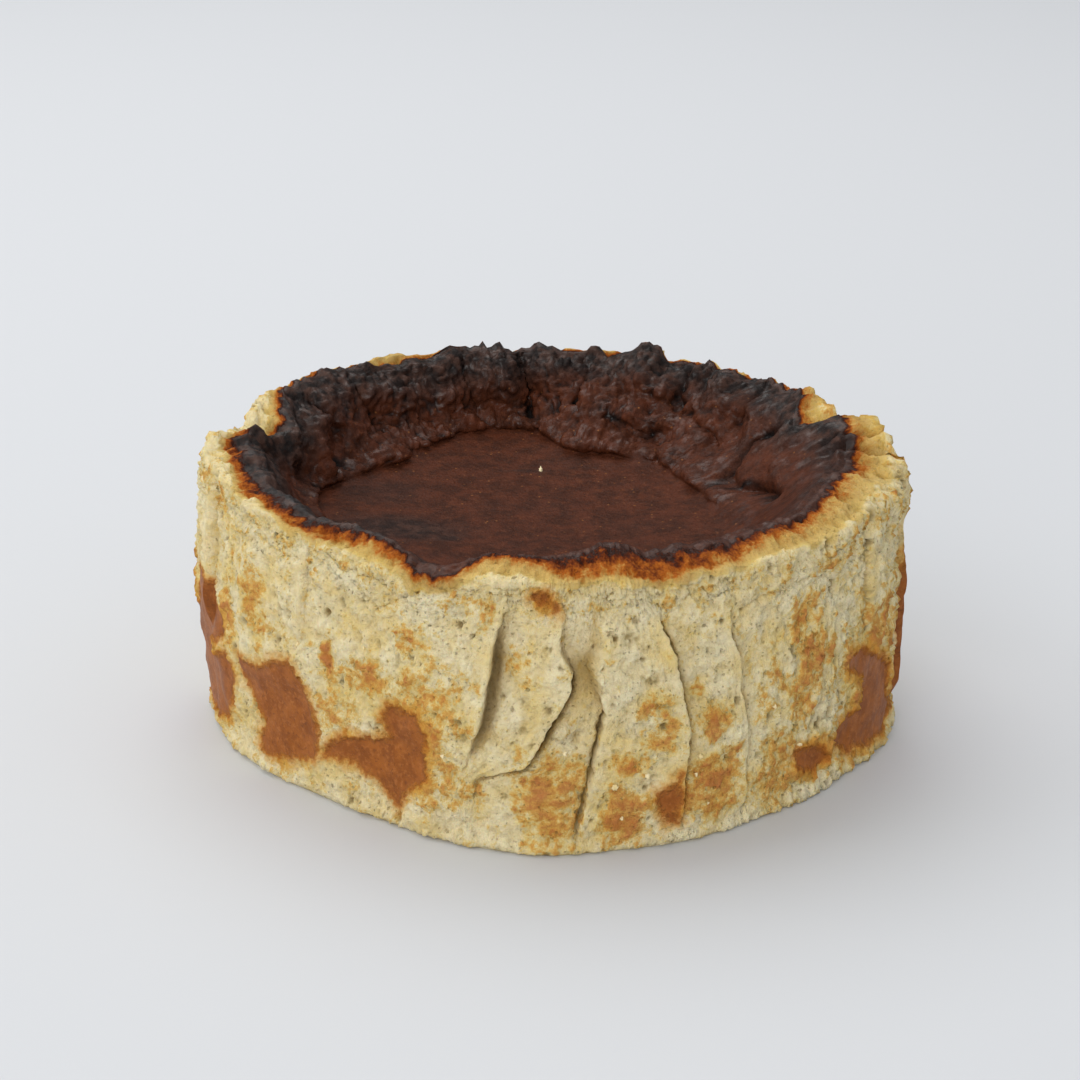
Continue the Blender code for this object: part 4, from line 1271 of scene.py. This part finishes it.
# Darker floor patches, mostly painted shade, one a thin crack: x, y, half width, half length, strength
FLOOR_SHADE_AND_STAINS = (
    (-33, -8, 17, 9, 0.6), (-5.5, 30.6, 7, 1.3, 0.5), (-38, 14, 12, 9, 0.35), (12, 34, 26, 5, 0.25),
    (-22, -12, 4, 3, 0.6), (18, -4, 9, 4, 0.2), (-4, 8, 12, 5, 0.18),
)


def floor_shade_and_stain(places):
    """How dark the floor is at each point, 0 to 1: mostly painted shade, and a crack."""
    shade_and_stain = np.zeros(len(places))
    for x, y, half_width, half_length, strength in FLOOR_SHADE_AND_STAINS:
        apart = np.hypot((places[:, 0] - x) / half_width, (places[:, 1] - y) / half_length)
        shade_and_stain = np.maximum(shade_and_stain, strength * ease(1.3 - 0.9 * apart))
    return shade_and_stain


def floor_form(bearing, outward):
    """Points of the sunken floor, where outward runs from 0 at the centre to 1 at the wall."""
    radius = ring(FOOT_RADIUS, bearing) * outward
    wrinkle = 0.5 * lumps(spot(bearing, radius, 0.0), 16, 5) * ease((1 - outward) / 0.2)
    height = FLOOR_HEIGHT - FLOOR_DISH * (1 - outward**2) + wrinkle
    return spot(bearing, radius, height + 0.1 * rough(spot(bearing, radius, height), 6, 83, 3))


def folds(places, bearing):
    """Puffed lumps and folds of the wall with sharp creases between them, between about -1 and 1."""
    bent = places + 1.2 * np.stack([lumps(places, 6, seed) for seed in (71, 72, 73)], axis=-1)
    long_folds = np.abs(lumps(bent, (9, 9, 12), 74)) * 2
    small_folds = np.abs(lumps(bent, (3.6, 3.6, 5), 75)) * 2
    lumpy = np.abs(lumps(bent, 1.9, 76)) * 2
    grainy = rough(bent, 1.3, 77, 2, 0.5)
    fine = ring(FINELY_CRUMPLED, bearing)
    return 0.6 * long_folds + (0.55 * small_folds + 0.5 * lumpy + 0.26 * grainy) * fine - 0.3 - 0.3 * fine


def top_wall(column):
    """Points of the crumpled wall, how far down it they are, and how deep in its folds."""
    crest_radius, crest_height = crest(column)
    wall_length = np.hypot(ring(FOOT_RADIUS, column) - crest_radius, crest_height - FLOOR_HEIGHT)
    lip = (0.75 + 0.45 * ragged(column, 3, 81) + 0.25 * ragged(column, 1.2, 82)) / wall_length
    run = np.linspace(0, 1, WALL_ROWS)[:, None] ** 1.15
    down = lip + (1 - lip) * run
    bearing = column[None, :] + 0 * down
    places = spot(bearing, *wall_form(bearing, down))

    inside = down * wall_length
    share = ring(CRUMPLED, bearing) * ease((inside - 0.5) / 4) * ease((1 - down) / 0.12)
    relief = FOLD_DEPTH * folds(places, bearing) * share
    relief += LIP_LIFT * (2 * ease((inside - inside[0]) / 2.5) - 1)
    relief += ring(EDGE_RIDGE, bearing) * (bell(inside - 2.6, 0.9) - 0.5 * bell(inside - 4.9, 1.3))
    # How deep each point lies in a fold or crease, where the skin is painted with shade
    fold_shade = np.clip(relief / FOLD_DEPTH + 0.2 * np.minimum(wall_relief(bearing, inside), 0), -1, 2)
    return places + grid_normals(places) * relief[..., None], down, inside, fold_shade


def top_mesh():
    column = crowded_columns(TOP_COLUMNS, lambda bearing: 1 - BACK_CROWDING * np.cos(np.radians(bearing)))
    shape = Shape()

    def top_ring(places, marks, past_crest, fold_shade, floor=0.0):
        """A ring of the skin, from the wall where floor is 0 to the sunken floor where it is 1."""
        char_and_shade = ring(CHARRED, marks) * ease((16 - past_crest) / 14)
        # On the floor, the char mask also takes the floor's darker patches, mostly painted shade
        char_and_shade = np.maximum(char_and_shade, floor_shade_and_stain(places) * floor)
        return shape.ring(places, fold_shade=fold_shade + 0 * marks, char_and_shade=char_and_shade, floor=floor + 0 * marks)

    places, down, inside, fold_shade = top_wall(column)
    rings = [
        top_ring(places[row], column, inside[row], fold_shade[row], ease((down[row] - 0.9) / 0.1))
        for row in range(WALL_ROWS)
    ]
    lip = rings[0]
    outward = 1.0
    step = 1
    while outward > FLOOR_CENTRE:
        outward -= FLOOR_SPACING / FLOOR_RADIUS
        count = TOP_COLUMNS // step
        if count > FEWEST_COLUMNS and 2 * math.pi * FLOOR_RADIUS * outward / count < CLOSEST_COLUMNS:
            step *= 2
        marks = column[::step]
        rings.append(top_ring(floor_form(marks, outward), marks, 20, 0.3, 1.0))
    shape.join(rings)

    under = [lip]
    for count, down, thick in SKIN_RINGS:
        marks = column[::TOP_COLUMNS // count]
        under.append(top_ring(under_wall(marks, down, thick), marks, 10, 0))
    marks = column[::TOP_COLUMNS // 110]
    under.append(top_ring(spot(marks, 0.45 * ring(FOOT_RADIUS, marks), SKIN_FOOT), marks, 10, 0))
    shape.join(under, flipped=True)

    skin = shape.mesh_object("burnt_top")
    for edge in skin.data.edges:
        edge.use_edge_sharp = max(edge.vertices) < TOP_COLUMNS
    return skin


burnt_top = top_mesh()


def burnt_skin():
    material, f, shader = new_material("burnt_skin")
    crust = f.group(BURNT_CRUST, Place=f.millimetres(), Charred=f.mask("char_and_shade"), Fold=f.mask("fold_shade"))
    on_wall = f.between(f.mask("floor"), 1.0, 0.0)
    f.feed(shader, {
        "Base Color": crust["Color"], "Roughness": f.line(crust["Grease"], -0.1, 0.53),
        "Coat Weight": f.times(f.line(crust["Grease"], 0.6, 0.02), on_wall), "Coat Roughness": 0.26,
        "Specular IOR Level": 0.1, "Normal": f.bump(crust["Height"], 0.9, 0.0006),
    })
    return material


burnt_top.data.materials.append(burnt_skin())
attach(burnt_top, "root")
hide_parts("cheesecake")


# ---------------------------------------------------------------------------------------------
# Loose crumbs. Dry specks of the baked custard that broke off as the paper was peeled away. They
# cling to the side, and one lies on the burnt top. Each is a small rough ball; all are one mesh.
# ---------------------------------------------------------------------------------------------

# Crumbs on the side: bearing, height, width and length. The speck on top: x, y, width and length
CLINGING_CRUMBS = (
    (10.2, 15.5, 1.1, 1.3), (15.6, 17, 0.9, 1.5), (24.5, 19.5, 0.8, 0.9), (24.2, 15.5, 0.7, 0.9),
    (11.6, 8, 0.8, 0.9), (2.4, 22.5, 1.0, 0.8), (26.5, 8.5, 0.6, 0.7), (-17, 20, 0.7, 0.8),
    (-33, 38, 0.6, 0.8), (39, 26, 0.7, 0.8), (47, 14, 0.8, 0.7), (-48, 34, 0.6, 0.7),
    (120, 20, 0.9, 1.0), (155, 36, 0.8, 1.1), (190, 14, 1.0, 0.9), (222, 26, 0.8, 1.0),
    (250, 12, 0.9, 0.8),
)
SPECK_ON_TOP = (-2.3, 30.9, 0.7, 1.8)
CRUMB_ROUGHNESS = 0.5
RINGS_PER_CRUMB = 8
POINTS_PER_RING = 14


def on_surface(piece, start, towards):
    """Where a line from start first meets the piece, and the way its surface faces, in millimetres."""
    origin = Vector([(value + shift) * MM for value, shift in zip(start, (*TIN_AXIS, 0))])
    found, place, facing, _ = piece.ray_cast(origin, Vector(towards).normalized())
    return np.array(place) / MM - (*TIN_AXIS, 0), np.array(facing)


def crumb_ball(shape, middle, facing, width, length, seed):
    """A rough ball, lengthwise up the surface, added to the shape."""
    out = facing / np.linalg.norm(facing)
    upward = np.cross(np.cross(out, (0, 0, 1)), out) + (1e-6, 0, 0)
    upward = upward / np.linalg.norm(upward)
    sideways = np.cross(upward, out)
    upward = upward * (-1 if upward[2] < 0 else 1)
    turn = 2 * math.pi * np.arange(POINTS_PER_RING)[:, None] / POINTS_PER_RING
    around = np.cos(turn) * sideways + np.sin(turn) * out
    rings = []
    for step in range(RINGS_PER_CRUMB + 1):
        tilt = math.pi * (0.03 + 0.94 * step / RINGS_PER_CRUMB)
        ball = np.cos(tilt) * upward * length + np.sin(tilt) * around * width
        ball = ball * (0.5 + CRUMB_ROUGHNESS * lumps(ball + middle, 0.7, seed)[:, None])
        rings.append(shape.ring(middle + 0.25 * width * out + ball))
    shape.join(rings)
    shape.faces.append(tuple(rings[0][::-1]))


def dry_crumb():
    material, f, shader = new_material("dry_crumb")
    place = f.millimetres()
    crumb = f.group(POROUS_CRUMB, Place=place, Toast=-0.6, Grain=0.3, Rim=0.0)
    bright = f.between(f.noise(place, 4), 0.35, 0.65)
    f.feed(shader, {
        "Base Color": f.mix(bright, crumb["Color"], colour(236, 218, 172)), "Roughness": 0.85,
        "Specular IOR Level": 0.2, "Normal": f.bump(crumb["Height"], 0.8, 0.0003),
    })
    return material


def crumbs_mesh():
    shape = Shape()
    for index, (bearing, height, width, length) in enumerate(CLINGING_CRUMBS):
        out = spot(bearing, 100.0, height)
        middle, facing = on_surface(cake_crumb, out, spot(bearing, -100.0, 0.0))
        crumb_ball(shape, middle, facing, width, length, 90 + index)
    x, y, width, length = SPECK_ON_TOP
    middle, facing = on_surface(burnt_top, (x, y, 90.0), (0, 0, -1))
    crumb_ball(shape, middle, np.array((0.1, -0.5, 0.85)), width, length, 89)
    return shape.mesh_object("loose_crumbs")


bpy.context.view_layer.update()
loose_crumbs = crumbs_mesh()
loose_crumbs.data.materials.append(dry_crumb())
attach(loose_crumbs, "root")
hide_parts("cheesecake")


# ---------------------------------------------------------------------------------------------
# The setting: a plain pale floor, soft studio light from above and from the left, and a camera
# that looks down on the cake from in front.
# ---------------------------------------------------------------------------------------------

FLOOR_SIZE = 8.0
CAMERA_PLACE = (-0.0019, -0.5355, 0.246)
CAMERA_PITCH = math.radians(21.1)
CAMERA_ROLL = math.radians(0.77)
LENS = 87.7


def pale_floor():
    mesh = bpy.data.meshes.new("floor")
    half = FLOOR_SIZE / 2
    corners = [(-half, -half, 0), (half, -half, 0), (half, half, 0), (-half, half, 0)]
    mesh.from_pydata(corners, [], [(0, 1, 2, 3)])
    floor = bpy.data.objects.new("floor", mesh)
    bpy.context.scene.collection.objects.link(floor)
    material, finish, shader = new_material("pale_floor")
    finish.feed(shader, {"Base Color": colour(206, 207, 209), "Roughness": 0.7, "Specular IOR Level": 0.2})
    mesh.materials.append(material)


pale_floor()


def soft_light(name, place, target, size, power, tint):
    lamp = bpy.data.lights.new(name, "AREA")
    lamp.shape = "RECTANGLE"
    lamp.size, lamp.size_y = size
    lamp.energy = power
    lamp.color = tint
    light = bpy.data.objects.new(name, lamp)
    light.location = place
    light.rotation_euler = (Vector(target) - Vector(place)).to_track_quat("-Z", "Y").to_euler()
    bpy.context.scene.collection.objects.link(light)


soft_light("softbox_above", (-0.3, 0.65, 1.3), (0, 0.15, 0), (1.4, 1.4), 11, (1.0, 0.99, 0.97))
soft_light("window_left", (-1.5, 0.0, 0.9), (0, 0, 0.03), (1.2, 1.2), 6.5, (0.95, 0.98, 1.0))
soft_light("softbox_front", (-0.45, -1.65, 0.75), (0, 0, 0.03), (1.2, 1.2), 12.5, (1.0, 0.99, 0.97))

world = bpy.data.worlds.new("studio")
world.use_nodes = True
world_finish = Finish(world.node_tree)
reflected = world_finish.node("ShaderNodeLightPath").outputs["Is Glossy Ray"]
world_finish.feed(world.node_tree.nodes["Background"], {
    "Color": (0.93, 0.96, 1.0, 1.0), "Strength": world_finish.line(reflected, -0.49, 0.69),
})
bpy.context.scene.world = world
bpy.context.scene.view_settings.view_transform = "Standard"

camera_data = bpy.data.cameras.new("camera")
camera_data.lens = LENS
camera_data.sensor_width = 36.0
camera_data.sensor_fit = "HORIZONTAL"
camera_data.clip_start = 0.05
camera_data.clip_end = 50.0
camera = bpy.data.objects.new("camera", camera_data)
forward = Vector((0, math.cos(CAMERA_PITCH), -math.sin(CAMERA_PITCH)))
level_up = Vector((0, math.sin(CAMERA_PITCH), math.cos(CAMERA_PITCH)))
level_right = Vector((1, 0, 0))
right = math.cos(CAMERA_ROLL) * level_right + math.sin(CAMERA_ROLL) * level_up
upward = math.cos(CAMERA_ROLL) * level_up - math.sin(CAMERA_ROLL) * level_right
turned = Matrix((right, upward, -forward)).transposed().to_4x4()
camera.matrix_world = Matrix.Translation(CAMERA_PLACE) @ turned
bpy.context.scene.collection.objects.link(camera)
bpy.context.scene.camera = camera
